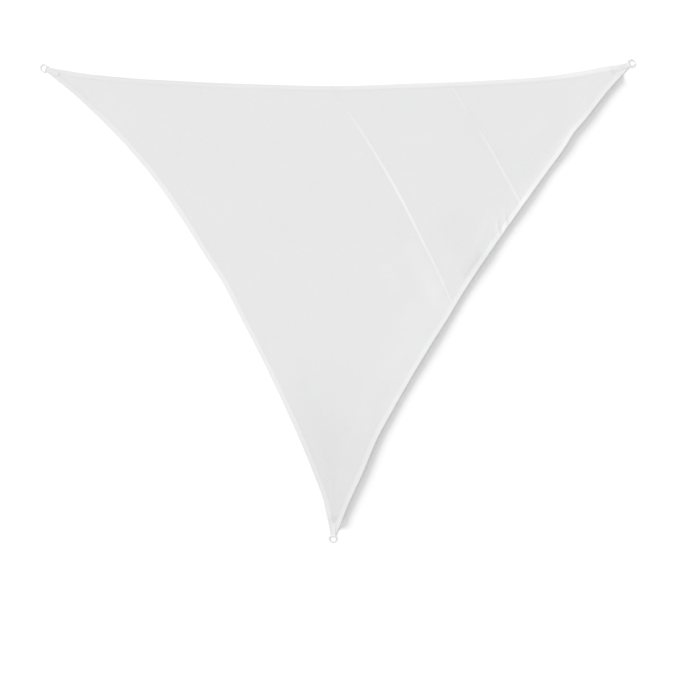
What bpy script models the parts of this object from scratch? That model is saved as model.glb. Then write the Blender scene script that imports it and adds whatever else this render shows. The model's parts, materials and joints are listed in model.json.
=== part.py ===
"""A three-cornered shade sail of three sewn cloth panels, lying open on the ground.

+Z is up and the ground is z = 0. The origin is on the ground, under the middle of
the sail's outline. Seen from above, +X runs along the top side and +Y points away
from the lone bottom corner. Lengths are in metres and angles in degrees.
"""

import math

import bmesh
import bpy
import numpy as np
from mathutils import Vector
from mathutils.geometry import delaunay_2d_cdt

# ---------------------------------------------------------------- driving sizes
CLOTH = 0.0012  # the cloth's thickness
GAP = 0.0004  # air between pieces that lie on each other
HEM_WIDTH = 0.030
HEM_EXTRA = 0.0014  # what the turned-in hem adds on the upper face
HEM_SLOPE = 0.0015  # how wide the hem's inner step is
LAP = 0.016  # how far one panel is lapped over the next at a seam
LAP_SLOPE_START, LAP_SLOPE_END = 0.0085, 0.011  # past the seam's middle, where the upper panel comes down

WEBBING_WIDTH, WEBBING_THICK = 0.025, 0.0015
LEG_LENGTH = 0.072  # how far each leg of a corner tab is sewn onto the cloth
LEG_CLEAR, LEG_SLOPE = 0.006, 0.045  # past a leg's end: where the cloth starts down, and how far it takes
CORNER_REACH = 0.20  # a corner's slope is within this distance of it
WIRE_RADIUS = 0.0020  # of the corner rings
RING_INNER_WIDTH, RING_OUTER_DEPTH = 0.037, 0.0395
RING_CORNER = 0.0040  # bend radius between a ring's bar and its sides
BOW_PARTS = 11  # an odd number, so that a flat facet lies in the bow's middle

# Each corner: where its cloth ends and how wide it is cut off there, the way its ring points,
# how far the ring's bar is ahead of the cloth, and how far the ring has slid to its left.
CORNERS = {
    "left": {"x": -1.7480, "y": 1.3946, "end": 0.028, "points_to": 155.7, "ahead": 0.0140, "slid": 0.0},
    "right": {"x": 1.7549, "y": 1.4228, "end": 0.028, "points_to": 20.0, "ahead": 0.0075, "slid": 0.0045},
    "bottom": {"x": -0.0246, "y": -1.4125, "end": 0.032, "points_to": 269.0, "ahead": 0.0075, "slid": -0.0040},
}

# Each side curves in from the straight line between its corners. Its sag gives how deep,
# at shares of the way along it.
SIDES = {
    "top": {
        "from": "left",
        "to": "right",
        "sag": {
            1 / 16: 0.0242,
            1 / 8: 0.0485,
            1 / 4: 0.079,
            3 / 8: 0.0996,
            1 / 2: 0.112,
            5 / 8: 0.1006,
            3 / 4: 0.087,
            7 / 8: 0.0576,
            15 / 16: 0.0238,
        },
    },
    "slant": {
        "from": "right",
        "to": "bottom",
        "sag": {
            1 / 16: 0.0245,
            1 / 8: 0.0468,
            5 / 32: 0.0618,
            3 / 16: 0.0615,
            1 / 4: 0.0758,
            3 / 8: 0.101,
            1 / 2: 0.115,
            9 / 16: 0.1114,
            5 / 8: 0.1122,
            3 / 4: 0.0985,
            13 / 16: 0.0854,
            7 / 8: 0.0508,
            15 / 16: 0.0234,
        },
    },
    "long": {
        "from": "bottom",
        "to": "left",
        "sag": {
            1 / 16: 0.0572,
            1 / 8: 0.0982,
            1 / 4: 0.157,
            3 / 8: 0.1976,
            7 / 16: 0.2122,
            1 / 2: 0.2274,
            9 / 16: 0.2223,
            5 / 8: 0.2205,
            3 / 4: 0.194,
            7 / 8: 0.1146,
            15 / 16: 0.058,
        },
    },
}

# Each seam runs from a place on the top side to one on the slant side, as shares of
# those sides. Its bow gives how far it is off the straight line, towards the right corner.
SEAMS = (
    {"on_top": 0.486, "on_slant": 0.538, "bow": {0.25: 0.0350, 0.5: 0.0445, 0.7: 0.0335, 0.88: 0.0185}},
    {"on_top": 0.6905, "on_slant": 0.317, "bow": {0.25: 0.0105, 0.5: 0.0140, 0.75: 0.0105}},
)
PANELS = ("panel_large", "panel_middle", "panel_corner")

# The slant side's edge curls up off the ground: its height at shares of that side.
CURL_WIDTH = 0.180
CURL_BEND = 1.5  # 1 is a straight rise, and more bends up towards the edge
# Towards its corners the curl dies away, between two distances from them. The way is 1 where
# the slant side is to the left of the ring's direction.
SLANT_ENDS = (
    {"corner": "right", "way": -1, "flat": 0.054, "full": 0.108},
    {"corner": "bottom", "way": 1, "flat": 0.030, "full": 0.085},
)
TAB_CLEAR, TAB_SLOPE = 0.015, 0.030  # off a tab's middle: where the cloth beside it starts up, and how far it takes
CURL = (
    {"at": 0.00, "height": 0.020},
    {"at": 0.05, "height": 0.023},
    {"at": 0.11, "height": 0.025},
    {"at": 0.17, "height": 0.026},
    {"at": 0.23, "height": 0.020},
    {"at": 0.30, "height": 0.025},
    {"at": 0.37, "height": 0.0185},
    {"at": 0.45, "height": 0.0245},
    {"at": 0.53, "height": 0.021},
    {"at": 0.62, "height": 0.026},
    {"at": 0.71, "height": 0.021},
    {"at": 0.80, "height": 0.024},
    {"at": 0.88, "height": 0.026},
    {"at": 0.95, "height": 0.025},
    {"at": 1.00, "height": 0.021},
)

# Soft folds that stand up from the ground: a ridge from one point to another.
FOLDS = (
    {"from": (0.34, -0.45), "to": (0.66, 0.16), "height": 0.0040, "reach": 0.150},
    {"from": (0.10, -0.96), "to": (0.24, -0.52), "height": 0.0030, "reach": 0.110},
    {"from": (-0.07, -1.02), "to": (-0.12, -0.60), "height": 0.0030, "reach": 0.120},
    {"from": (0.88, 0.28), "to": (1.04, 0.52), "height": 0.0035, "reach": 0.120},
    {"from": (1.22, 1.00), "to": (1.46, 1.22), "height": 0.0035, "reach": 0.110},
    {"from": (-1.36, 1.16), "to": (-1.02, 0.92), "height": 0.0025, "reach": 0.100},
    {"from": (-0.60, 0.24), "to": (-0.40, 0.02), "height": 0.0020, "reach": 0.120},
)

# How finely the cloth is divided.
SIDE_PARTS = {"top": 52, "slant": 150, "long": 52}
TAB_PARTS = 4
CURL_LINES = (0.065, 0.110, 0.165)
SEAM_PARTS = 26
FIELD_STEP = 0.100
CLEAR = 0.035  # the field's own points keep this far from every line


# ---------------------------------------------------------------- plane geometry
def turned(angle):
    """The unit vector at this angle, in degrees."""
    return np.array([math.cos(math.radians(angle)), math.sin(math.radians(angle))])


def left_of(direction):
    """The direction turned a quarter turn to the left."""
    return np.array([-direction[1], direction[0]])


def smooth_curve(knots, parts):
    """Evenly spaced points of a smooth curve through the knots."""
    knots = np.array(knots, float)
    along = np.concatenate([[0], np.cumsum(np.linalg.norm(np.diff(knots, axis=0), axis=1))])
    slopes = np.gradient(knots, along, axis=0)
    fine = np.linspace(0, along[-1], 40 * len(knots))
    points = hermite(along, knots, slopes, fine)
    run = np.concatenate([[0], np.cumsum(np.linalg.norm(np.diff(points, axis=0), axis=1))])
    even = np.linspace(0, run[-1], parts + 1)
    return np.stack([np.interp(even, run, points[:, axis]) for axis in (0, 1)], axis=1)


def hermite(places, values, slopes, at):
    """Cubic interpolation of the values, or rows of values, at those places."""
    index = np.clip(np.searchsorted(places, at, side="right") - 1, 0, len(places) - 2)
    width = places[index + 1] - places[index]
    share = (at - places[index]) / width
    if values.ndim > 1:
        width, share = width[:, None], share[:, None]
    rest = 1 - share
    return (
        values[index] * rest**2 * (1 + 2 * share)
        + values[index + 1] * share**2 * (1 + 2 * rest)
        + slopes[index] * width * share * rest**2
        - slopes[index + 1] * width * share**2 * rest
    )


def corner_end(name, way):
    """One end of the cut-off cloth at a corner: way is 1 for the left of the ring's direction."""
    corner = CORNERS[name]
    middle = np.array([corner["x"], corner["y"]])
    return middle + way * corner["end"] / 2 * left_of(turned(corner["points_to"]))


def side_curve(name):
    """Points along one side. The sides follow each other clockwise, seen from above."""
    side = SIDES[name]
    start, end = corner_end(side["from"], -1), corner_end(side["to"], 1)
    first, last = (np.array([CORNERS[side[k]]["x"], CORNERS[side[k]]["y"]]) for k in ("from", "to"))
    chord = last - first
    inward = -left_of(chord / np.linalg.norm(chord))
    knots = [start]
    knots += [first + chord * at + inward * sag for at, sag in side["sag"].items()]
    knots += [end]
    return smooth_curve(knots, SIDE_PARTS[name])


def side_point(curve, share):
    """The point of a side at this share of the straight line between its ends."""
    chord = curve[-1] - curve[0]
    shares = (curve - curve[0]) @ chord / (chord @ chord)
    return np.array([np.interp(share, shares, curve[:, axis]) for axis in (0, 1)])


def shifted(curve, distance):
    """The curve moved to its right by a distance, which is inwards on a side."""
    tangent = np.gradient(curve, axis=0)
    tangent /= np.linalg.norm(tangent, axis=1)[:, None]
    return curve + distance * np.stack([tangent[:, 1], -tangent[:, 0]], axis=1)


def seam_curve(seam, top, slant):
    """Points down the middle of a seam, from just outside the top side to past the slant one."""
    start, end = side_point(top, seam["on_top"]), side_point(slant, seam["on_slant"])
    chord = end - start
    outward = left_of(chord / np.linalg.norm(chord))
    beyond = 0.02
    shares = np.linspace(-beyond, 1 + beyond, SEAM_PARTS + 1)
    places = np.array([0, *seam["bow"], 1])
    bows = np.array([0, *seam["bow"].values(), 0])
    bow = hermite(places, bows, np.gradient(bows, places), shares)
    return start + shares[:, None] * chord + bow[:, None] * outward


def distance_to(curve, points):
    """Each point's distance from a curve, positive to its left, and how far along it that is."""
    start, step = curve[:-1], np.diff(curve, axis=0)
    length = np.linalg.norm(step, axis=1)
    away = points[:, None, :] - start
    share = np.clip((away * step).sum(2) / length**2, 0, 1)
    off = away - share[:, :, None] * step
    distance = np.linalg.norm(off, axis=2)
    nearest = distance.argmin(axis=1)
    row = np.arange(len(points))
    left = step[nearest, 0] * off[row, nearest, 1] - step[nearest, 1] * off[row, nearest, 0]
    run = np.concatenate([[0], np.cumsum(length)])
    along = (run[nearest] + share[row, nearest] * length[nearest]) / run[-1]
    return np.where(left >= 0, 1, -1) * distance[row, nearest], along


# ---------------------------------------------------------------- the sail's lines and heights
TOP, SLANT, LONG = (side_curve(name) for name in SIDES)
SEAM_CURVES = [seam_curve(seam, TOP, SLANT) for seam in SEAMS]


def eased(share):
    """A soft step from 0 to 1."""
    share = np.clip(share, 0, 1)
    return share * share * (3 - 2 * share)


def corner_rise(points):
    """The cloth lies on the lower leg of each corner tab, and comes down past its end."""
    rise = np.zeros(len(points))
    for corner in CORNERS.values():
        outward = turned(corner["points_to"])
        behind = (np.array([corner["x"], corner["y"]]) - points) @ outward
        down = (behind - LEG_LENGTH - LEG_CLEAR) / LEG_SLOPE
        near = np.linalg.norm(points - [corner["x"], corner["y"]], axis=1) < CORNER_REACH
        rise += near * (WEBBING_THICK + GAP) * (1 - np.clip(down, 0, 1))
    return rise


def curl(points):
    """The height of the slant side's curled edge."""
    distance, along = distance_to(SLANT, points)
    places = np.array([row["at"] for row in CURL])
    heights = np.array([row["height"] for row in CURL])
    crest = hermite(places, heights, np.gradient(heights, places), along)
    for end in SLANT_ENDS:
        corner = CORNERS[end["corner"]]
        away = [corner["x"], corner["y"]] - points
        crest *= eased((np.linalg.norm(away, axis=1) - end["flat"]) / (end["full"] - end["flat"]))
        # The cloth stays flat where it is sewn into the tab.
        outward = turned(corner["points_to"])
        beside = (-end["way"] * (away @ left_of(outward)) - TAB_CLEAR) / TAB_SLOPE
        past = (away @ outward - LEG_LENGTH - LEG_CLEAR) / LEG_SLOPE
        crest *= 1 - (1 - eased(beside)) * (1 - eased(past))
    return crest * np.clip(1 - np.abs(distance) / CURL_WIDTH, 0, 1) ** CURL_BEND


def soft_folds(points):
    """The height of the soft folds in the open cloth."""
    height = np.zeros(len(points))
    for fold in FOLDS:
        ridge = np.array([fold["from"], fold["to"]])
        distance, _ = distance_to(ridge, points)
        height += fold["height"] * (1 - eased(np.abs(distance) / fold["reach"]))
    return height


def lie(points):
    """The height of the cloth's underside above the ground, away from the seams."""
    return corner_rise(points) + curl(points) + soft_folds(points)


def hem_extra(points):
    """What the hems add to the thickness."""
    nearest = np.min([np.abs(distance_to(side, points)[0]) for side in (TOP, SLANT, LONG)], axis=0)
    return HEM_EXTRA * np.clip((HEM_WIDTH + HEM_SLOPE - nearest) / HEM_SLOPE, 0, 1)


def lap_rise(points, panel):
    """How far a panel is lifted where it is lapped over the panel before it."""
    if panel == 0:
        return np.zeros(len(points))
    past, _ = distance_to(SEAM_CURVES[panel - 1], points)
    over = CLOTH + hem_extra(points) + GAP
    slope = LAP_SLOPE_END - LAP_SLOPE_START
    return over * np.clip((LAP_SLOPE_END - past) / slope, 0, 1)


# ---------------------------------------------------------------- cutting and sewing the cloth
def within(outline, points):
    """Which points are inside a closed outline, by how often a ray to their right crosses it."""
    x, y = points[:, 0, None], points[:, 1, None]
    x1, y1 = outline.T
    x2, y2 = np.roll(outline, -1, axis=0).T
    spans = (y1 > y) != (y2 > y)
    crossing = x1 + (y - y1) * (x2 - x1) / np.where(y2 == y1, 1, y2 - y1)
    return (spans & (crossing > x)).sum(axis=1) % 2 == 1


def field_points(lines):
    """Points all over the cloth in staggered rows along the seams, clear of every line."""
    outline = np.concatenate([TOP, SLANT, LONG])
    chord = LONG[-1] - LONG[0]
    along = chord / np.linalg.norm(chord)
    across = left_of(along)
    row_step = FIELD_STEP * math.sqrt(3) / 2
    most = math.ceil(np.abs(outline).max() / FIELD_STEP) * 2
    grid = []
    for row in range(-most, most + 1):
        stagger = row % 2 / 2
        places = np.arange(-most, most + 1) + stagger
        grid.append(places[:, None] * FIELD_STEP * along + row * row_step * across)
    grid = np.concatenate(grid)
    grid = grid[within(outline, grid)]
    for line in lines + [TOP, SLANT, LONG]:
        grid = grid[np.abs(distance_to(line, grid)[0]) > CLEAR]
    return grid


def cloth_lines():
    """The lines that the cloth's faces must follow, inside its outline."""
    hems = [shifted(side, HEM_WIDTH + step) for side in (TOP, SLANT, LONG) for step in (0, HEM_SLOPE)]
    curls = [shifted(SLANT, distance)[1:-1] for distance in CURL_LINES]
    offsets = (LAP / 2, -LAP / 2, -LAP_SLOPE_START, -LAP_SLOPE_END)
    laps = [shifted(seam, offset) for seam in SEAM_CURVES for offset in offsets]
    steps = []
    for corner in CORNERS.values():
        outward = turned(corner["points_to"])
        for behind in (LEG_LENGTH + LEG_CLEAR, LEG_LENGTH + LEG_CLEAR + LEG_SLOPE):
            middle = np.array([corner["x"], corner["y"]]) - behind * outward
            half = CORNER_REACH / 2 * left_of(outward)
            steps.append(np.array([middle - half, middle + half]))
    besides = []
    for end in SLANT_ENDS:
        corner = CORNERS[end["corner"]]
        outward = turned(corner["points_to"])
        flat = np.linspace(0, LEG_LENGTH + LEG_CLEAR, TAB_PARTS + 1)
        behind = np.append(flat, flat[-1] + LEG_SLOPE)[:, None]
        for off in (TAB_CLEAR, TAB_CLEAR + TAB_SLOPE / 2):
            start = np.array([corner["x"], corner["y"]]) + end["way"] * off * left_of(outward)
            besides.append(start - behind * outward)
    return hems + curls + laps + steps + besides


def cut_plan():
    """The whole sail laid out flat, as points and triangles that follow its lines."""
    outline = np.concatenate([TOP, SLANT, LONG])
    lines = cloth_lines()
    points, edges = list(outline), []
    for line in lines:
        edges += [(len(points) + n, len(points) + n + 1) for n in range(len(line) - 1)]
        points += list(line)
    points += list(field_points(lines))
    # The outline is given the other way round, because a face's points run anticlockwise.
    face = list(range(len(outline)))[::-1]
    keep_inside = 1
    merge = 1e-6
    flat = delaunay_2d_cdt([Vector(p) for p in points], edges, [face], keep_inside, merge)
    points, faces = np.array([tuple(p) for p in flat[0]]), np.array([tuple(f) for f in flat[2]])
    # Lines that cross at the corners close small shapes outside the cloth, which are no part of it.
    return points, faces[within(outline, points[faces].mean(axis=1))]


def panel_faces(points, faces, panel):
    """The triangles of one panel, with the part that it shares with a neighbour at each lap."""
    middles = points[faces].mean(axis=1)
    taken = np.ones(len(faces), bool)
    if panel > 0:
        taken &= distance_to(SEAM_CURVES[panel - 1], middles)[0] > -LAP / 2
    if panel < len(SEAM_CURVES):
        taken &= distance_to(SEAM_CURVES[panel], middles)[0] < LAP / 2
    return faces[taken]


def sew_panel(name, panel, points, faces, material):
    """One panel as a closed solid: its flat cut, extruded up and lifted into its lie."""
    shape = bmesh.new()
    corners = {index: shape.verts.new((*points[index], 0)) for index in np.unique(faces)}
    for face in faces:
        shape.faces.new([corners[index] for index in face])
    under = list(shape.verts)
    made = bmesh.ops.extrude_face_region(shape, geom=shape.faces[:], use_keep_orig=True)
    upper = [item for item in made["geom"] if isinstance(item, bmesh.types.BMVert)]
    lift(under, lambda flat: lie(flat) + lap_rise(flat, panel))
    lift(upper, lambda flat: lie(flat) + lap_rise(flat, panel) + CLOTH + hem_extra(flat))
    bmesh.ops.recalc_face_normals(shape, faces=shape.faces)
    return make_object(name, shape, material)


def lift(verts, height):
    """Sets each point's height from its place in the plane."""
    flat = np.array([vert.co.xy for vert in verts])
    for vert, z in zip(verts, height(flat)):
        vert.co.z = z


# ---------------------------------------------------------------- corner fittings
def ribbon_profile(path, thick):
    """The outline of a ribbon of this thickness along a path."""
    path = np.array(path)
    tangent = np.gradient(path, axis=0)
    tangent /= np.linalg.norm(tangent, axis=1)[:, None]
    normal = np.stack([-tangent[:, 1], tangent[:, 0]], axis=1)
    return np.concatenate([path + normal * thick / 2, (path - normal * thick / 2)[::-1]])


def tab_path(ahead):
    """The middle of the webbing seen from the side: under the cloth, round the bar, over the cloth."""
    half = WEBBING_THICK / 2
    bend = WIRE_RADIUS + GAP + half
    lower, bar_height = half, half + bend
    upper = WEBBING_THICK + GAP + CLOTH + HEM_EXTRA + GAP + half
    path = [(-LEG_LENGTH, lower), (0, lower)]
    for angle in range(-90, 91, 20):
        arc = turned(angle) * bend
        path.append((ahead + arc[0], bar_height + arc[1]))
    run_down = 0.016
    for share in (0.25, 0.5, 0.75, 1.0):
        down = eased(share)
        path.append((ahead - run_down * share, (bar_height + bend) * (1 - down) + upper * down))
    path.append((-LEG_LENGTH, upper))
    return path


def make_tab(name, corner, ahead, material):
    """A corner tab: webbing folded round the ring's bar, with a leg on each face of the cloth."""
    shape = bmesh.new()
    outline = ribbon_profile(tab_path(ahead), WEBBING_THICK)
    side = [shape.verts.new((along, -WEBBING_WIDTH / 2, height)) for along, height in outline]
    face = shape.faces.new(side)
    made = bmesh.ops.extrude_face_region(shape, geom=[face], use_keep_orig=True)
    for item in made["geom"]:
        if isinstance(item, bmesh.types.BMVert):
            item.co.y += WEBBING_WIDTH
    bmesh.ops.recalc_face_normals(shape, faces=shape.faces)
    tab = make_object(name, shape, material)
    tab.parent = corner
    return tab


def ring_path():
    """The middle of a ring's wire, from its bar at x = 0 round the bow, in its own plane."""
    half = RING_INNER_WIDTH / 2 + WIRE_RADIUS
    deep = RING_OUTER_DEPTH - 2 * WIRE_RADIUS
    bow_middle = deep - half
    path = []
    for angle in np.linspace(-90, 90, BOW_PARTS + 1):
        path.append(np.array([bow_middle, 0]) + half * turned(angle))
    for angle in range(90, 181, 30):
        path.append(np.array([RING_CORNER, half - RING_CORNER]) + RING_CORNER * turned(angle))
    for angle in range(180, 271, 30):
        path.append(np.array([RING_CORNER, RING_CORNER - half]) + RING_CORNER * turned(angle))
    return path


def make_ring(name, corner, ahead, slid, material):
    """A D-shaped ring of round wire, its bar in the tab and its bow resting on the ground."""
    curve = bpy.data.curves.new(name, "CURVE")
    curve.dimensions = "3D"
    curve.twist_mode = "Z_UP"
    curve.bevel_depth = WIRE_RADIUS
    curve.bevel_resolution = 2
    sides = 4 + 2 * curve.bevel_resolution
    spline = curve.splines.new("POLY")
    path = ring_path()
    spline.points.add(len(path) - 1)
    for point, place in zip(spline.points, path):
        point.co = (*place, 0, 1)
        point.tilt = math.pi / sides
    spline.use_cyclic_u = True
    ring = bpy.data.objects.new(name, curve)
    bpy.context.scene.collection.objects.link(ring)
    curve.materials.append(material)
    bar_height = WEBBING_THICK + GAP + WIRE_RADIUS
    reach = RING_OUTER_DEPTH - 2 * WIRE_RADIUS
    ring.parent = corner
    ring.location = (ahead, slid, bar_height)
    ring.rotation_euler.y = math.asin((bar_height - WIRE_RADIUS) / reach)
    return ring


# ---------------------------------------------------------------- objects and materials
def make_object(name, shape, material):
    """The finished shape as an object, shaded smooth but for its creases."""
    mesh = bpy.data.meshes.new(name)
    shape.to_mesh(mesh)
    shape.free()
    mesh.materials.append(material)
    mesh.shade_smooth()
    mesh.set_sharp_from_angle(angle=math.radians(30))
    made = bpy.data.objects.new(name, mesh)
    bpy.context.scene.collection.objects.link(made)
    return made


def make_material(name, colour, roughness, metallic):
    """A plain material."""
    material = bpy.data.materials.new(name)
    material.use_nodes = True
    shader = material.node_tree.nodes["Principled BSDF"]
    shader.inputs["Base Color"].default_value = (*colour, 1)
    shader.inputs["Roughness"].default_value = roughness
    shader.inputs["Metallic"].default_value = metallic
    return material


def main():
    for old in list(bpy.data.objects):
        bpy.data.objects.remove(old)
    cloth = make_material("cloth", (0.80, 0.80, 0.80), 0.85, 0)
    webbing = make_material("webbing", (0.84, 0.84, 0.84), 0.80, 0)
    steel = make_material("steel", (0.72, 0.73, 0.74), 0.22, 1)
    points, faces = cut_plan()
    for panel, name in enumerate(PANELS):
        sew_panel(name, panel, points, panel_faces(points, faces, panel), cloth)
    for name, place in CORNERS.items():
        corner = bpy.data.objects.new("corner_" + name, None)
        bpy.context.scene.collection.objects.link(corner)
        corner.location = (place["x"], place["y"], 0)
        corner.rotation_euler.z = math.radians(place["points_to"])
        make_tab("tab_" + name, corner, place["ahead"], webbing)
        make_ring("ring_" + name, corner, place["ahead"], place["slid"], steel)


main()
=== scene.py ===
"""The looks of a three-cornered shade sail, lying open on a pale floor.

The cloth, its sewing, the webbing tabs and the D-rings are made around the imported
solids, in their frame: +Z is up, +X runs along the top side, and the lone corner
points to -Y. Lengths are in metres and angles in degrees.
"""

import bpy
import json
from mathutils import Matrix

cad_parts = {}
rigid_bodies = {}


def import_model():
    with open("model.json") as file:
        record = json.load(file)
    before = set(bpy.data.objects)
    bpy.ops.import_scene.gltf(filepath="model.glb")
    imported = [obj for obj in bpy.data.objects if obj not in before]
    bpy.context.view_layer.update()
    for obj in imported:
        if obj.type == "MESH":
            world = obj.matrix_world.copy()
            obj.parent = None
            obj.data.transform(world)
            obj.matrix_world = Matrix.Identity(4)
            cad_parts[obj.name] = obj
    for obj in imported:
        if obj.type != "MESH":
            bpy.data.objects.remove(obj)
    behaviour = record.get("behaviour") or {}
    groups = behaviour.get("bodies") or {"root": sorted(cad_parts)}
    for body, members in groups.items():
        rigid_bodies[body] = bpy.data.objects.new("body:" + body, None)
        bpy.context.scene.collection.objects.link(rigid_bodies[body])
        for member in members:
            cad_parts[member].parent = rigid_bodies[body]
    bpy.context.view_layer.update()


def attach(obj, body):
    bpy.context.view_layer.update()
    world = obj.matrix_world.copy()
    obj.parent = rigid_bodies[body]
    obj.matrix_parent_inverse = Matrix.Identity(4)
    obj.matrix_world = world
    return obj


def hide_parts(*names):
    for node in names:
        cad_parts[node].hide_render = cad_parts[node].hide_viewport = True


bl_info = {
    "name": "Shade Sail Looks",
    "version": (1, 0, 0),
    "blender": (4, 5, 0),
    "location": "3D View > Sidebar > Shade Sail",
    "description": "Makes the cloth, sewing, webbing and rings of a three-cornered shade sail",
    "category": "Object",
}

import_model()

import json
import math

import bpy
import numpy as np
from bpy.props import FloatProperty, FloatVectorProperty, IntProperty, PointerProperty
from mathutils import Matrix, Vector
from mathutils.geometry import delaunay_2d_cdt
from mathutils.kdtree import KDTree

# ---------------------------------------------------------------- the sail's plan, as its solids have it
LEG_LENGTH = 0.072  # how far each leg of a corner tab is sewn onto the cloth
LEG_CLEAR, LEG_SLOPE = 0.006, 0.045  # past a leg's end: where the cloth starts down, and how far it takes
CORNER_REACH = 0.20  # a corner's slope is within this distance of it

# The middle of the cut-off cloth at each corner, how wide that end is, the way the ring
# points, and where the ring's bar sits: how far ahead of the cloth, and slid along itself.
CORNERS = {
    "left": {"x": -1.7480, "y": 1.3946, "end": 0.028, "points_to": 155.7, "ahead": 0.0140, "slid": 0.0},
    "right": {"x": 1.7549, "y": 1.4228, "end": 0.028, "points_to": 20.0, "ahead": 0.0075, "slid": 0.0045},
    "bottom": {"x": -0.0246, "y": -1.4125, "end": 0.032, "points_to": 269.0, "ahead": 0.0075, "slid": -0.0040},
}

# Each side curves in from the straight line between its corners. Its sag gives how deep,
# at shares of the way along it.
SIDES = {
    "top": {
        "from": "left",
        "to": "right",
        "sag": {
            1 / 16: 0.0242, 1 / 8: 0.0485, 1 / 4: 0.079, 3 / 8: 0.0996, 1 / 2: 0.112,
            5 / 8: 0.1006, 3 / 4: 0.087, 7 / 8: 0.0576, 15 / 16: 0.0238,
        },
    },
    "slant": {
        "from": "right",
        "to": "bottom",
        "sag": {
            1 / 16: 0.0245, 1 / 8: 0.0468, 5 / 32: 0.0618, 3 / 16: 0.0615, 1 / 4: 0.0758, 3 / 8: 0.101,
            1 / 2: 0.115, 9 / 16: 0.1114, 5 / 8: 0.1122, 3 / 4: 0.0985, 13 / 16: 0.0854, 7 / 8: 0.0508,
            15 / 16: 0.0234,
        },
    },
    "long": {
        "from": "bottom",
        "to": "left",
        "sag": {
            1 / 16: 0.0572, 1 / 8: 0.0982, 1 / 4: 0.157, 3 / 8: 0.1976, 7 / 16: 0.2122, 1 / 2: 0.2274,
            9 / 16: 0.2223, 5 / 8: 0.2205, 3 / 4: 0.194, 7 / 8: 0.1146, 15 / 16: 0.058,
        },
    },
}

# Each seam runs from a place on the top side to one on the slant side, as shares of
# those sides. Its bow towards the right corner is given at shares of the way down it.
SEAMS = (
    {"on_top": 0.486, "on_slant": 0.538, "bow": {0.25: 0.0350, 0.5: 0.0445, 0.7: 0.0335, 0.88: 0.0185}},
    {"on_top": 0.6905, "on_slant": 0.317, "bow": {0.25: 0.0105, 0.5: 0.0140, 0.75: 0.0105}},
)
LAP = 0.016  # how far one panel is lapped over the next at a seam
LAP_SLOPE_START, LAP_SLOPE_END = 0.0085, 0.011  # past the seam's middle, where the upper panel comes down

# The slant side's edge curls up off the ground.
CURL_WIDTH = 0.180
CURL_BEND = 1.5  # 1 is a straight rise, and more bends up towards the edge
# Towards its corners the curl dies away, between two distances from them. The way is 1 where
# the slant side is to the left of the ring's direction.
SLANT_ENDS = (
    {"corner": "right", "way": -1, "flat": 0.054, "full": 0.108},
    {"corner": "bottom", "way": 1, "flat": 0.030, "full": 0.085},
)
TAB_CLEAR, TAB_SLOPE = 0.015, 0.030  # off a tab's middle: where the cloth beside it starts up, and how far it takes
CURL = {  # the edge's height at shares of that side
    0.00: 0.020, 0.05: 0.023, 0.11: 0.025, 0.17: 0.026, 0.23: 0.020, 0.30: 0.025, 0.37: 0.0185, 0.45: 0.0245,
    0.53: 0.021, 0.62: 0.026, 0.71: 0.021, 0.80: 0.024, 0.88: 0.026, 0.95: 0.025, 1.00: 0.021,
}

# Soft folds that stand up from the ground: ridges from one point to another.
FOLDS = (  # start, end, height, reach to either side
    ((0.34, -0.45), (0.66, 0.16), 0.0040, 0.150),
    ((0.10, -0.96), (0.24, -0.52), 0.0030, 0.110),
    ((-0.07, -1.02), (-0.12, -0.60), 0.0030, 0.120),
    ((0.88, 0.28), (1.04, 0.52), 0.0035, 0.120),
    ((1.22, 1.00), (1.46, 1.22), 0.0035, 0.110),
    ((-1.36, 1.16), (-1.02, 0.92), 0.0025, 0.100),
    ((-0.60, 0.24), (-0.40, 0.02), 0.0020, 0.120),
)

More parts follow.
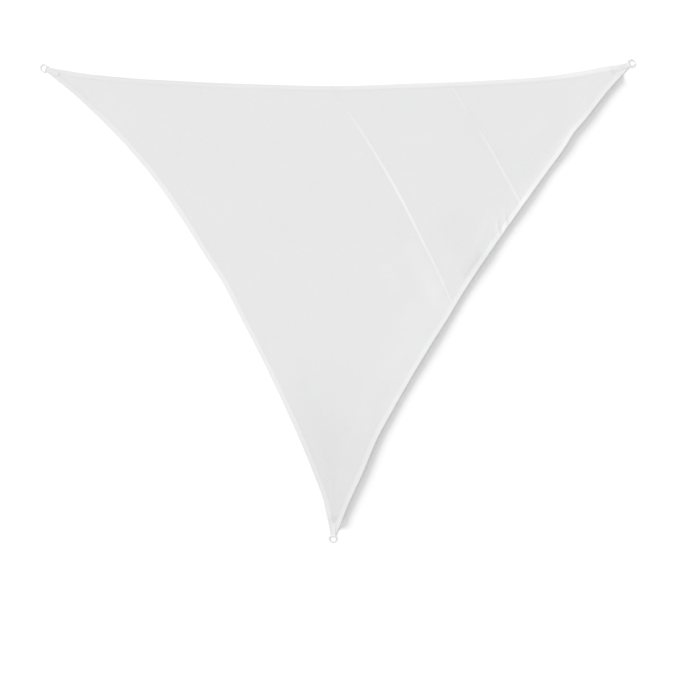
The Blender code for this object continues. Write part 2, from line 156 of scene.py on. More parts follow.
# ---------------------------------------------------------------- finer creases, for the looks only
# Ridges, and troughs where the height is below zero.
CREASES = (  # start, end, height, reach to either side
    # the crumpled stretch of the slant side between the seams
    ((0.80, 0.26), (0.93, 0.50), 0.0016, 0.035),
    ((0.88, 0.30), (1.00, 0.47), -0.0012, 0.030),
    ((0.72, 0.36), (0.97, 0.36), 0.0012, 0.045),
    ((0.62, 0.40), (0.90, 0.44), -0.0014, 0.060),
    ((0.98, 0.40), (1.08, 0.62), 0.0012, 0.030),
    ((0.76, 0.12), (0.88, 0.32), 0.0010, 0.028),
    ((1.022, 0.425), (1.003, 0.575), 0.0045, 0.016),
    ((0.975, 0.375), (0.961, 0.515), 0.0048, 0.016),
    ((0.930, 0.320), (0.925, 0.415), 0.0018, 0.015),
    ((1.068, 0.520), (1.052, 0.610), 0.0016, 0.015),
    ((0.842, 0.215), (0.812, 0.290), 0.0018, 0.015),
    ((0.800, 0.150), (0.776, 0.222), 0.0016, 0.013),
    ((0.770, 0.105), (0.742, 0.170), 0.0014, 0.013),
    # the light wedge near the right corner
    ((1.40, 0.98), (1.55, 1.25), 0.0018, 0.050),
    ((1.33, 0.92), (1.50, 1.22), -0.0014, 0.045),
    ((1.27, 0.80), (1.44, 1.04), 0.0012, 0.035),
    ((1.12, 0.66), (1.27, 0.90), -0.0010, 0.040),
    # beside the slant side, below the first seam
    ((0.56, -0.05), (0.70, 0.17), 0.0014, 0.040),
    ((0.46, -0.26), (0.58, 0.02), -0.0012, 0.050),
    ((0.34, -0.42), (0.47, -0.22), 0.0012, 0.045),
    ((0.24, -0.68), (0.36, -0.44), -0.0010, 0.040),
    ((0.16, -0.86), (0.26, -0.62), 0.0012, 0.035),
    ((0.06, -1.06), (0.15, -0.84), -0.0010, 0.032),
    # the soft upright bands above the bottom corner
    ((-0.05, -1.20), (-0.10, -0.78), 0.0012, 0.045),
    ((-0.10, -1.10), (-0.19, -0.74), -0.0010, 0.045),
    ((-0.01, -1.20), (0.01, -0.90), -0.0008, 0.032),
    # drawn-in places along the long side
    ((-1.60, 1.27), (-1.40, 1.10), 0.0010, 0.035),
    ((-1.44, 1.17), (-1.28, 0.98), -0.0010, 0.040),
    ((-1.30, 0.94), (-1.14, 0.80), 0.0012, 0.035),
    ((-1.22, 0.83), (-1.04, 0.66), -0.0008, 0.032),
    ((-1.10, 0.66), (-0.94, 0.52), 0.0010, 0.035),
    ((-0.80, 0.24), (-0.66, 0.14), 0.0009, 0.035),
    ((-0.56, -0.12), (-0.44, -0.22), 0.0009, 0.032),
    ((-0.34, -0.48), (-0.22, -0.55), 0.0010, 0.030),
    # along the top side
    ((-1.20, 1.32), (-0.98, 1.14), 0.0009, 0.045),
    ((-0.40, 1.24), (-0.34, 1.06), 0.0008, 0.040),
    ((0.30, 1.26), (0.22, 1.06), 0.0009, 0.045),
    ((1.00, 1.30), (0.94, 1.12), 0.0010, 0.045),
    # across the open cloth
    ((-0.62, 0.84), (-0.20, 0.30), 0.0010, 0.090),
    ((0.14, 0.62), (0.44, 0.10), -0.0010, 0.090),
    ((-0.26, 0.10), (0.04, -0.40), 0.0010, 0.080),
    ((0.62, 0.98), (0.78, 0.66), 0.0010, 0.070),
)

# The cloth gathers behind each corner tab in ridges that fan out.
GATHERS = {  # angle off the corner's own line, start and end from the corner, height, reach to either side
    "left": (
        (-13, 0.085, 0.42, 0.0016, 0.016),
        (-6, 0.090, 0.33, 0.0010, 0.012),
        (1, 0.085, 0.50, 0.0018, 0.017),
        (9, 0.090, 0.36, 0.0012, 0.013),
        (15, 0.100, 0.30, 0.0009, 0.012),
    ),
    "right": (
        (-14, 0.090, 0.34, 0.0012, 0.014),
        (-5, 0.085, 0.46, 0.0018, 0.017),
        (3, 0.090, 0.38, 0.0012, 0.013),
        (11, 0.085, 0.44, 0.0015, 0.016),
    ),
    "bottom": (
        (-11, 0.090, 0.36, 0.0012, 0.014),
        (-3, 0.085, 0.48, 0.0017, 0.016),
        (5, 0.090, 0.40, 0.0012, 0.013),
        (12, 0.095, 0.30, 0.0010, 0.012),
    ),
}

# How white the hems look beside one layer of cloth, at their outer and inner edge: from 0, as one layer,
# to 1, as the layered colour. Given at shares of the way along each side. The layers make the hems whiter,
# and their rise and fall along each side is partly painted highlight and sheen, strongest on the slant side
# near the second seam.
HEM_WHITENESS_AND_SHEEN = {  # place: (outer, inner)
    "top": {
        0.05: (0.18, 0.12), 0.12: (0.02, 0.10), 0.26: (0.08, 0.10), 0.34: (0.20, 0.20), 0.48: (0.28, 0.05),
        0.64: (0.62, 0.22), 0.71: (0.67, 0.02), 0.85: (0.67, 0.06), 0.90: (0.90, 0.54), 0.96: (0.68, 0.46),
    },
    "slant": {
        0.06: (0.45, 0.20), 0.18: (0.74, 0.62), 0.26: (0.76, 0.62), 0.31: (0.96, 0.66), 0.35: (0.88, 0.60),
        0.40: (0.53, 0.45), 0.48: (0.62, 0.45), 0.58: (0.46, 0.40), 0.85: (0.50, 0.45), 0.96: (0.58, 0.40),
    },
    "long": {
        0.05: (0.50, 0.38), 0.12: (0.36, 0.46), 0.22: (0.48, 0.52), 0.34: (0.52, 0.38), 0.56: (0.52, 0.42),
        0.68: (0.62, 0.56), 0.78: (0.46, 0.38), 0.85: (0.36, 0.32), 0.91: (0.15, 0.15), 0.96: (0.12, 0.06),
    },
}
# The same of each seam, at shares of the way down it.
SEAM_WHITENESS = (
    {0.08: 0.07, 0.19: 0.40, 0.33: 0.60, 0.50: 0.82, 0.70: 0.69, 0.88: 0.38},
    {0.08: 0.26, 0.19: 0.30, 0.33: 0.06, 0.50: 0.45, 0.70: 0.48, 0.88: 0.45},
)
# Patches of painted shade on the cloth, or painted highlight where the share is below zero: mostly the shading of folds
# and crumples.
PAINTED_SHADE_AND_HIGHLIGHT = (  # start, end, share, reach to either side
    # darker towards the bottom corner
    ((-0.03, -1.41), (-0.03, -1.25), 0.064, 1.000),
    ((0.71, 0.45), (0.85, 0.24), 0.024, 0.170),
    ((0.849, 0.271), (0.776, 0.175), 0.035, 0.055),
    ((0.860, 0.280), (0.757, 0.135), 0.040, 0.012),
    ((0.45, 0.31), (0.62, -0.02), -0.024, 0.090),
    ((0.29, 0.18), (0.35, 0.10), -0.012, 0.080),
    ((-0.22, -0.37), (-0.08, -0.95), 0.010, 0.085),
    ((0.85, 1.02), (0.94, 0.88), 0.010, 0.100),
    ((-0.35, 0.94), (-0.48, 0.78), 0.009, 0.100),
    ((0.99, 0.60), (1.38, 1.20), 0.011, 0.100),
    ((1.405, 1.047), (1.117, 0.638), -0.020, 0.022),
    # painted shade and highlight on the crumples of the slant side's hem
    ((1.005, 0.465), (0.999, 0.416), -0.055, 0.011),
    ((1.020, 0.495), (1.023, 0.482), 0.060, 0.010),
    ((0.978, 0.441), (0.984, 0.410), 0.055, 0.009),
    ((0.963, 0.459), (0.954, 0.422), -0.035, 0.010),
    ((0.960, 0.386), (0.963, 0.371), 0.045, 0.009),
    ((0.930, 0.356), (0.915, 0.329), -0.040, 0.010),
    ((1.129, 0.628), (1.105, 0.579), -0.045, 0.013),
    ((1.114, 0.649), (1.126, 0.640), 0.040, 0.009),
    # painted shade of the crumples beside the hems of the left corner
    ((-1.684, 1.370), (-1.670, 1.358), 0.028, 0.014),
    ((-1.648, 1.340), (-1.633, 1.326), 0.026, 0.016),
    ((-1.592, 1.289), (-1.578, 1.277), 0.026, 0.014),
    ((-1.553, 1.268), (-1.537, 1.257), 0.022, 0.016),
    ((-1.524, 1.232), (-1.510, 1.218), 0.024, 0.016),
)
# Painted shade that darkens the slant side's curled edge against the extra light it catches as it rises.
CURL_PAINTED_SHADE = 0.018  # of the slant side's curled edge, which faces the light

# How finely the cloth is divided, and where its lines run.
RUN_STEP = 0.0072  # along the lines
FIELD_STEP = 0.0128  # in the open cloth
FIELD_CLEAR = 0.0055  # the field's own points keep this far from the lines beside hems and seams
FINE_STEP = 0.0048  # where it is crumpled
FINE_PLACES = ({"middle": (0.99, 0.48), "reach": 0.15}, {"middle": (0.80, 0.22), "reach": 0.12})
HEM_LINES = (0.007, 0.011, 0.019, 0.023, 0.033, 0.037, 0.043, 0.051)
SEAM_LINES = (-0.022, -0.015, -0.011, -0.0092, 0.0085, 0.0097, 0.011, 0.015, 0.022)

# The folded edge of a hem and of a lap, with its faces' heights as shares of its thickness.
HEM_PROFILE = (  # how far in, upper face, under face
    (0.0000, 0.62, 0.38),
    (0.0005, 0.88, 0.12),
    (0.0013, 0.99, 0.01),
    (0.0025, 1.00, 0.00),
    (0.0035, 0.84, 0.08),
    (0.0045, 0.99, 0.00),
    (0.0150, 1.06, 0.00),
    (0.0255, 0.99, 0.00),
    (0.0265, 0.82, 0.08),
    (0.0275, 0.97, 0.00),
    (0.0290, 0.97, 0.00),
    (0.0298, 0.88, 0.00),
)
LAP_PROFILE = (  # the same
    (0.0000, 0.62, 0.38),
    (0.0003, 0.86, 0.12),
    (0.0008, 1.00, 0.00),
    (0.0017, 1.00, 0.00),
    (0.0025, 0.84, 0.00),
    (0.0033, 1.00, 0.00),
    (0.0080, 1.05, 0.00),
    (0.0127, 1.00, 0.00),
    (0.0135, 0.84, 0.00),
    (0.0143, 1.00, 0.00),
    (0.0156, 0.92, 0.00),
)
STEP_DOWN = 0.0012  # how wide the inner step of a hem or a lap is
HEM_ROWS = (0.0035, 0.0265)  # the rows of stitches, from the outline
SEAM_ROWS = (-0.0055, 0.0055)  # and from the middle of a seam
HEM_CLEAR = 0.0305  # a seam's rows end this far from the outline
TAB_BESIDE, TAB_PAST = 0.0008, 0.0012  # the hems' rows keep this far from a tab's sides and its end

TAB_WIDTH = 0.025
TAB_RUN_DOWN = 0.016  # how far a tab's upper leg takes to come down from the bar
WEBBING_GAP = 0.0004  # air between the webbing and the cloth
SEWN_GAP = 0.0001  # air between two panels at a seam
FLOOR_BELOW = 0.0006  # the floor is this far under the cloth's under face
PHOTO_MIDDLE = (0.01825, -0.23877)  # what is at the middle of the view
LIGHT_GOES = (0.846, -0.534)  # the way both lamps' light travels over the ground

# The cloth of each panel, and the sides that it has a hem on.
PANELS = {
    "panel_large": {"piece": "large_panel_cloth", "hemmed": ("top", "slant", "long")},
    "panel_middle": {"piece": "middle_panel_cloth", "hemmed": ("top", "slant")},
    "panel_corner": {"piece": "corner_panel_cloth", "hemmed": ("top", "slant")},
}


# ---------------------------------------------------------------- what a user may change
def metres(name, description, default, precision=4):
    """A size in metres."""
    return FloatProperty(name=name, description=description, default=default, unit="LENGTH", precision=precision)


def tint(name, description, default):
    """A colour."""
    return FloatVectorProperty(name=name, description=description, default=default, subtype="COLOR", min=0, max=1)


def degrees(name, description, angle):
    """An angle."""
    return FloatProperty(name=name, description=description, default=math.radians(angle), subtype="ANGLE")


def power(name, description, default):
    """How strong a light is."""
    return FloatProperty(name=name, description=description, default=default, min=0)


class SailCloth(bpy.types.PropertyGroup):
    """Sizes and colours of the cloth."""

    thickness: metres("Thickness", "Of one layer of the cloth", 0.0007)
    hem_thickness: metres("Hem thickness", "Of the turned-in hem", 0.0015)
    lap_thickness: metres("Lap thickness", "Of the folded edge that lies on top at a seam", 0.0013)
    hem_width: metres("Hem width", "Of the turned-in hem", 0.030)
    pucker: metres("Puckers", "Height of the small waves that the stitches draw up", 0.00035, 5)
    waviness: metres("Waviness", "Height of the broad, low waves all over the cloth", 0.0016)
    colour: tint("Colour", "Of a single layer of the cloth", (0.755, 0.755, 0.757))
    layered_colour: tint("Layered colour", "Where layers lie on each other, at their whitest", (0.870, 0.870, 0.872))
    yarn_pitch: metres("Yarn pitch", "From one yarn to the next", 0.0008, 5)
    seed: IntProperty(name="Seed", description="Of the waves and puckers", default=7)


class SailSewing(bpy.types.PropertyGroup):
    """Sizes and colour of the sewing."""

    pitch: metres("Pitch", "From one stitch to the next", 0.0046)
    stitch_length: metres("Stitch length", "Of the thread that shows", 0.0040)
    thread: metres("Thread", "Thickness of the thread", 0.00056, 5)
    colour: tint("Colour", "Of the thread", (0.80, 0.80, 0.80))


class SailWebbing(bpy.types.PropertyGroup):
    """Sizes and colour of the corner tabs."""

    width: metres("Width", "Of the webbing", TAB_WIDTH)
    thickness: metres("Thickness", "Of the webbing", 0.0015)
    ribs: IntProperty(name="Ribs", description="That run along the webbing", default=11, min=2)
    rib_height: metres("Rib height", "Of the ribs", 0.00012, 5)
    colour: tint("Colour", "Of the webbing", (0.85, 0.85, 0.85))


class SailRings(bpy.types.PropertyGroup):
    """Sizes and colour of the corner rings."""

    wire: metres("Wire", "Thickness of the wire", 0.004)
    inner_width: metres("Inner width", "Clear width of the ring", 0.037)
    outer_depth: metres("Outer depth", "From the back of the bar to the front of the bow", 0.0395)
    bend: metres("Bend", "Radius between the bar and the sides", 0.0040)
    colour: tint("Colour", "Of the steel", (0.95, 0.95, 0.95))


class SailStage(bpy.types.PropertyGroup):
    """The floor, the light and the camera."""

    floor_radius: metres("Floor radius", "Of the pale floor", 60.0, 2)
    floor_colour: tint("Floor colour", "Of the pale floor", (0.98, 0.98, 0.98))
    view_width: metres("View width", "Of the floor that the camera sees", 4.1113)
    lens: FloatProperty(name="Lens", description="Focal length in millimetres", default=85.0, min=1)
    key: power("Key light", "Strength of the soft light on the sail", 1.247)
    key_height: degrees("Key height", "Above the horizon", 56)
    key_softness: degrees("Key softness", "How wide the key light looks", 12)
    rake: power("Low light", "Strength of the low light on the floor", 2.4)
    rake_height: degrees("Low light height", "Above the horizon", 25)
    rake_softness: degrees("Low light softness", "How wide the low light looks", 30)
    fill: power("Fill light", "Strength of the light from all round", 0.755)


# ---------------------------------------------------------------- plane geometry
def turned(angle):
    """The unit vector at this angle, in degrees."""
    return np.array([math.cos(math.radians(angle)), math.sin(math.radians(angle))])


def left_of(direction):
    """The direction turned a quarter turn to the left."""
    return np.array([-direction[1], direction[0]])


def eased(share):
    """A soft step from 0 to 1."""
    share = np.clip(share, 0, 1)
    return share * share * (3 - 2 * share)


def hermite(places, values, slopes, at):
    """Cubic interpolation of the values, or rows of values, at those places."""
    index = np.clip(np.searchsorted(places, at, side="right") - 1, 0, len(places) - 2)
    width = places[index + 1] - places[index]
    share = (at - places[index]) / width
    if values.ndim > 1:
        width, share = width[:, None], share[:, None]
    rest = 1 - share
    return (
        values[index] * rest**2 * (1 + 2 * share)
        + values[index + 1] * share**2 * (1 + 2 * rest)
        + slopes[index] * width * share * rest**2
        - slopes[index + 1] * width * share**2 * rest
    )


def runs(curve):
    """How far along a curve each of its points is."""
    return np.concatenate([[0], np.cumsum(np.linalg.norm(np.diff(curve, axis=0), axis=1))])


def resampled(curve, step):
    """The curve with its points about a step apart."""
    run = runs(curve)
    even = np.linspace(0, run[-1], math.ceil(run[-1] / step) + 1)
    return np.stack([np.interp(even, run, curve[:, axis]) for axis in range(curve.shape[1])], axis=1)


def smooth_curve(knots, step):
    """Evenly spaced points of a smooth curve through the knots."""
    knots = np.array(knots, float)
    along = runs(knots)
    fine_parts = 400  # for each knot
    fine = np.linspace(0, along[-1], fine_parts * len(knots))
    return resampled(hermite(along, knots, np.gradient(knots, along, axis=0), fine), step)


def corner_end(name, way):
    """One end of the cut-off cloth at a corner: way is 1 for the left of the ring's direction."""
    corner = CORNERS[name]
    middle = np.array([corner["x"], corner["y"]])
    return middle + way * corner["end"] / 2 * left_of(turned(corner["points_to"]))


def side_curve(name):
    """Points along one side. The sides follow each other clockwise, seen from above."""
    side = SIDES[name]
    start, end = corner_end(side["from"], -1), corner_end(side["to"], 1)
    first, last = (np.array([CORNERS[side[k]]["x"], CORNERS[side[k]]["y"]]) for k in ("from", "to"))
    chord = last - first
    inward = -left_of(chord / np.linalg.norm(chord))
    knots = [start]
    knots += [first + chord * at + inward * sag for at, sag in side["sag"].items()]
    knots += [end]
    return smooth_curve(knots, RUN_STEP)


def side_point(curve, share):
    """The point of a side at this share of the straight line between its ends."""
    chord = curve[-1] - curve[0]
    shares = (curve - curve[0]) @ chord / (chord @ chord)
    return np.array([np.interp(share, shares, curve[:, axis]) for axis in (0, 1)])


def shifted(curve, distance):
    """The curve moved to its right by a distance, which is inwards on a side."""
    tangent = np.gradient(curve, axis=0)
    tangent /= np.linalg.norm(tangent, axis=1)[:, None]
    return curve + distance * np.stack([tangent[:, 1], -tangent[:, 0]], axis=1)


def seam_curve(seam):
    """Points down the middle of a seam, from just outside the top side to past the slant one."""
    start = side_point(SIDE_CURVES["top"], seam["on_top"])
    end = side_point(SIDE_CURVES["slant"], seam["on_slant"])
    chord = end - start
    length = np.linalg.norm(chord)
    beyond = 0.02
    shares = np.linspace(-beyond, 1 + beyond, math.ceil(length / RUN_STEP) + 1)
    places = np.array([0, *seam["bow"], 1])
    bows = np.array([0, *seam["bow"].values(), 0])
    bow = hermite(places, bows, np.gradient(bows, places), shares)
    return start + shares[:, None] * chord + bow[:, None] * left_of(chord / length)


def distance_to(curve, points):
    """Each point's distance from a curve, positive to its left, and how far along it that is."""
    tree = KDTree(len(curve))
    for place, (x, y) in enumerate(curve):
        tree.insert((x, y, 0), place)
    tree.balance()
    near = np.array([tree.find((x, y, 0))[1] for x, y in points])
    run = runs(curve)
    nearest = np.full(len(points), np.inf)
    side, along = np.ones(len(points)), np.zeros(len(points))
    for first in (near - 1, near):
        first = np.clip(first, 0, len(curve) - 2)
        start, step = curve[first], curve[first + 1] - curve[first]
        away = points - start
        share = np.clip((away * step).sum(1) / (step * step).sum(1), 0, 1)
        off = away - share[:, None] * step
        distance = np.linalg.norm(off, axis=1)
        closer = distance < nearest
        nearest = np.where(closer, distance, nearest)
        left = step[:, 0] * off[:, 1] - step[:, 1] * off[:, 0] >= 0
        side = np.where(closer, np.where(left, 1, -1), side)
        along = np.where(closer, (run[first] + share * (run[first + 1] - run[first])) / run[-1], along)
    return side * nearest, along


def within(outline, points):
    """Which points are inside a closed outline, by how often a ray to their right crosses it."""
    x1, y1 = outline.T
    x2, y2 = np.roll(outline, -1, axis=0).T
    rise = np.where(y2 == y1, 1, y2 - y1)
    inside = np.zeros(len(points), bool)
    block = 4000
    for start in range(0, len(points), block):
        x, y = points[start : start + block, 0, None], points[start : start + block, 1, None]
        crossing = x1 + (y - y1) * (x2 - x1) / rise
        inside[start : start + block] = (((y1 > y) != (y2 > y)) & (crossing > x)).sum(axis=1) % 2 == 1
    return inside


SIDE_CURVES = {name: side_curve(name) for name in SIDES}
SEAM_CURVES = [seam_curve(seam) for seam in SEAMS]
OUTLINE = np.concatenate(list(SIDE_CURVES.values()))
ROLL = SEAM_CURVES[0][-1] - SEAM_CURVES[0][0]  # the way the cloth came off its roll
ROLL /= np.linalg.norm(ROLL)


class Survey:
    """Where points lie on the plan: how far in from the sides, and on which side of each seam."""

    def __init__(self, points):
        self.points = points
        self.inside, self.along = {}, {}
        for name, curve in SIDE_CURVES.items():
            distance, self.along[name] = distance_to(curve, points)
            self.inside[name] = -distance
        self.edge = np.min([np.abs(distance) for distance in self.inside.values()], axis=0)
        self.seams = [distance_to(curve, points) for curve in SEAM_CURVES]
        self.corners = {}
        for name, corner in CORNERS.items():
            outward = turned(corner["points_to"])
            away = [corner["x"], corner["y"]] - points
            self.corners[name] = {"behind": away @ outward, "across": -away @ left_of(outward)}

    def from_corner(self):
        """Each point's distance from the nearest corner."""
        return np.min([np.hypot(row["behind"], row["across"]) for row in self.corners.values()], axis=0)


# ---------------------------------------------------------------- how the cloth lies
def corner_rise(plan, webbing):
    """The cloth lies on the lower leg of each corner tab, and comes down past its end."""
    rise = np.zeros(len(plan.points))
    for place in plan.corners.values():
        down = eased((place["behind"] - LEG_LENGTH - LEG_CLEAR) / LEG_SLOPE)
        near = np.hypot(place["behind"], place["across"]) < CORNER_REACH
        rise += near * (webbing.thickness + WEBBING_GAP) * (1 - down)
    return rise


def curl(plan):
    """The height of the slant side's curled edge."""
    places, heights = np.array(list(CURL)), np.array(list(CURL.values()))
    crest = hermite(places, heights, np.gradient(heights, places), plan.along["slant"])
    return crest * curled(plan) * np.clip(1 - np.abs(plan.inside["slant"]) / CURL_WIDTH, 0, 1) ** CURL_BEND


def curled(plan):
    """From 0 to 1: how far the slant side's edge is curled up. It stays flat where it is sewn into a tab."""
    share = np.ones(len(plan.points))
    for end in SLANT_ENDS:
        place = plan.corners[end["corner"]]
        away = np.hypot(place["behind"], place["across"])
        share *= eased((away - end["flat"]) / (end["full"] - end["flat"]))
        beside = (end["way"] * place["across"] - TAB_CLEAR) / TAB_SLOPE
        past = (place["behind"] - LEG_LENGTH - LEG_CLEAR) / LEG_SLOPE
        share *= 1 - (1 - eased(beside)) * (1 - eased(past))
    return share


def ridge(points, start, end, reach, taper=0):
    """From 0 to 1: a soft ridge from one point to another, which dies away at its ends by the taper."""
    start, end = np.array(start), np.array(end)
    chord = end - start
    share = (points - start) @ chord / (chord @ chord)
    off = points - start - np.clip(share, 0, 1)[:, None] * chord
    height = 1 - eased(np.linalg.norm(off, axis=1) / reach)
    if taper:
        height *= eased(share / taper) * eased((1 - share) / taper)
    return height


def soft_folds(points):
    """The height of the soft folds in the open cloth."""
    return sum(height * ridge(points, start, end, reach) for start, end, height, reach in FOLDS)


def creases(points):
    """The finer ridges and troughs."""
    taper = 0.35
    return sum(height * ridge(points, start, end, reach, taper) for start, end, height, reach in CREASES)


def gathers(plan):
    """The ridges that fan out behind the corner tabs, wider the further they run."""
    height = np.zeros(len(plan.points))
    rises_over, falls_over, widens = 0.2, 0.7, 1.5
    for name, rows in GATHERS.items():
        place = plan.corners[name]
        away = np.hypot(place["behind"], place["across"])
        angle = np.degrees(np.arctan2(place["across"], place["behind"]))
        for off_line, starts, ends, tall, reach in rows:
            share = (away - starts) / (ends - starts)
            off = np.radians(angle - off_line) * away
            wide = reach * (1 + widens * np.clip(share, 0, 1))
            along = eased(share / rises_over) * eased((1 - share) / falls_over)
            height += tall * along * (1 - eased(np.abs(off) / wide))
    return height


def random_waves(dice, points, shortest, longest, count=14):
    """Low waves in every direction, about -1 to 1 high."""
    height = np.zeros(len(points))
    for _ in range(count):
        along = points @ turned(dice.uniform(0, 360))
        wave = dice.uniform(shortest, longest)
        height += np.sin(2 * math.pi * along / wave + dice.uniform(0, 2 * math.pi))
    return height / math.sqrt(count)


def wave_along(dice, run, shortest, longest, count=9):
    """An uneven wave along a line, about -1 to 1 high."""
    height = np.zeros(len(run))
    for _ in range(count):
        wave = dice.uniform(shortest, longest)
        height += np.sin(2 * math.pi * run / wave + dice.uniform(0, 2 * math.pi))
    return height / math.sqrt(count)


def puckers(plan, cloth):
    """Small waves that the stitches draw up beside the hems and the seams."""
    dice = np.random.default_rng(cloth.seed)
    height = np.zeros(len(plan.points))
    hem_reach, seam_reach = 0.085, 0.050
    for name, curve in SIDE_CURVES.items():
        inside, run = np.abs(plan.inside[name]), plan.along[name] * runs(curve)[-1]
        fine = wave_along(dice, run + 0.35 * inside, 0.022, 0.060)
        uneven = np.clip(0.55 + 0.55 * wave_along(dice, run, 0.15, 0.60), 0, 1.6)
        fade = eased(inside / cloth.hem_width) * (1 - eased((inside - cloth.hem_width) / hem_reach))
        height += cloth.pucker * uneven * fade * (1 + fine)
    for curve, (distance, along) in zip(SEAM_CURVES, plan.seams):
        run = along * runs(curve)[-1]
        fine = wave_along(dice, run + 0.3 * distance, 0.020, 0.048)
        uneven = np.clip(0.45 + 0.5 * wave_along(dice, run, 0.15, 0.50), 0, 1.3)
        fade = 1 - eased(np.abs(distance) / seam_reach)
        height += 0.7 * cloth.pucker * uneven * fade * (1 + fine)
    return height


def lie(plan, cloth, webbing):
    """The height of the cloth's under face above the ground, away from the seams."""
    dice = np.random.default_rng(cloth.seed + 1)
    waves = cloth.waviness * (0.5 + 0.30 * random_waves(dice, plan.points, 0.28, 0.75))
    relief = waves + creases(plan.points) + gathers(plan) + puckers(plan, cloth)
    soft = 0.0003
    relief = (relief + np.sqrt(relief**2 + soft**2)) / 2  # never below the ground
    relief *= eased((plan.from_corner() - LEG_LENGTH - LEG_CLEAR) / LEG_SLOPE)
    return corner_rise(plan, webbing) + curl(plan) + soft_folds(plan.points) + relief


def profile(rows, inwards, thick, single):
    """The upper and under face of a folded edge, which comes down to a single layer at its end."""
    places, upper, under = zip(*rows)
    places += (places[-1] + STEP_DOWN / 2, places[-1] + STEP_DOWN)
    upper = [share * thick for share in upper] + [(thick + single) / 2, single]
    under = [share * thick for share in under] + [0, 0]
    return np.interp(inwards, places, upper), np.interp(inwards, places, under)


def hem_faces(plan, cloth):
    """The faces of a panel over its own lie, with its hems."""
    upper, under = profile(HEM_PROFILE, plan.edge, cloth.hem_thickness, cloth.thickness)
    slope_beside, slope_past = 0.008, 0.010
    for place in plan.corners.values():
        # Under a tab the cloth is sewn up to one thickness.
        beside = eased((np.abs(place["across"]) - TAB_WIDTH / 2) / slope_beside)
        past = eased((place["behind"] - LEG_LENGTH) / slope_past)
        patch = (1 - beside) * (1 - past) * (plan.edge > HEM_ROWS[1])
        upper = np.maximum(upper, cloth.thickness + patch * (cloth.hem_thickness - cloth.thickness))
    return upper, under


def panel_heights(plan, panel, cloth, webbing):
    """The heights of a panel's upper and under face."""
    ground = lie(plan, cloth, webbing)
    upper, under = hem_faces(plan, cloth)
    if panel > 0:
        past = plan.seams[panel - 1][0]
        over = (upper + SEWN_GAP) * (1 - eased((past - LAP_SLOPE_START) / (LAP_SLOPE_END - LAP_SLOPE_START)))
        lap_upper, lap_under = profile(LAP_PROFILE, past + LAP / 2, cloth.lap_thickness, cloth.thickness)
        return ground + over + np.maximum(upper, lap_upper), ground + over + np.maximum(under, lap_under)
    return ground + upper, ground + under


# ---------------------------------------------------------------- the cloth's flat cut
def hem_lines():
    """Lines beside each side, each as far as no other side is nearer."""
    ends = [inside for inside, _, _ in HEM_PROFILE[1:]]
    ends += [ends[-1] + STEP_DOWN / 2, ends[-1] + STEP_DOWN]
    lines = []
    for name, curve in SIDE_CURVES.items():
        others = [other for key, other in SIDE_CURVES.items() if key != name]
        for inside in sorted([*ends, *HEM_LINES]):
            line = shifted(curve, inside)
            keep = within(OUTLINE, line)
            for other in others:
                keep &= np.abs(distance_to(other, line)[0]) > inside
            lines += stretches(line, keep)
    return lines


def seam_lines():
    """Lines along each seam, from just outside the outline at one end to just outside it at the other."""
    places = [inside - LAP / 2 for inside, _, _ in LAP_PROFILE] + [LAP / 2, *SEAM_LINES]
    lines = []
    for curve in SEAM_CURVES:
        for place in sorted(places):
            line = shifted(curve, -place)
            inside = within(OUTLINE, line)
            keep = inside.copy()
            keep[1:] |= inside[:-1]
            keep[:-1] |= inside[1:]
            lines += stretches(line, keep)
    return lines


def stretches(line, keep):
    """The stretches of a line whose points are kept, at least two points long."""
    cuts = np.flatnonzero(np.diff(keep.astype(int))) + 1
    parts = np.split(np.arange(len(line)), cuts)
    return [line[part] for part in parts if keep[part[0]] and len(part) > 1]


def field_points():
    """Points all over the cloth, closer together where it is crumpled."""
    coarse, fine = staggered(FIELD_STEP), staggered(FINE_STEP)
    crumpled = [
        np.any([np.linalg.norm(grid - place["middle"], axis=1) < place["reach"] for place in FINE_PLACES], axis=0)
        for grid in (coarse, fine)
    ]
    grid = np.concatenate([coarse[~crumpled[0]], fine[crumpled[1]]])
    grid = grid[within(OUTLINE, grid)]
    for curve in SIDE_CURVES.values():
        grid = grid[np.abs(distance_to(curve, grid)[0]) > max(HEM_LINES) + FIELD_CLEAR]
    for curve in SEAM_CURVES:
        grid = grid[np.abs(distance_to(curve, grid)[0]) > max(SEAM_LINES) + FIELD_CLEAR]
    return grid


def staggered(step):
    """Staggered rows of points over the sail's box, turned as the cloth came off the roll."""
    across = left_of(ROLL)
    row_step = step * math.sqrt(3) / 2
    most = math.ceil(np.abs(OUTLINE).max() * 1.5 / row_step)
    row, place = np.mgrid[-most : most + 1, -most : most + 1]
    row, place = row.ravel(), place.ravel() + row.ravel() % 2 / 2
    grid = place[:, None] * step * ROLL + row[:, None] * row_step * across
    low, high = OUTLINE.min(axis=0), OUTLINE.max(axis=0)
    return grid[((grid > low) & (grid < high)).all(axis=1)]


def cut_plan():
    """The whole sail laid out flat, as points and triangles that follow its lines."""
    points, edges = list(OUTLINE), []
    for line in hem_lines() + seam_lines():
        edges += [(len(points) + n, len(points) + n + 1) for n in range(len(line) - 1)]
        points += list(line)
    points += list(field_points())
    face = list(range(len(OUTLINE)))[::-1]
    keep_inside, merge = 1, 1e-6
    flat = delaunay_2d_cdt([Vector(p) for p in points], edges, [face], keep_inside, merge)
    points, faces = np.array([tuple(p) for p in flat[0]]), np.array([tuple(f) for f in flat[2]])
    return points, faces[within(OUTLINE, points[faces].mean(axis=1))]


def panel_faces(middles, faces, panel):
    """The triangles of one panel, with the part that it shares with a neighbour at each lap."""
    taken = np.ones(len(faces), bool)
    if panel > 0:
        taken &= middles.seams[panel - 1][0] > -LAP / 2
    if panel < len(SEAM_CURVES):
        taken &= middles.seams[panel][0] < LAP / 2
    return faces[taken]


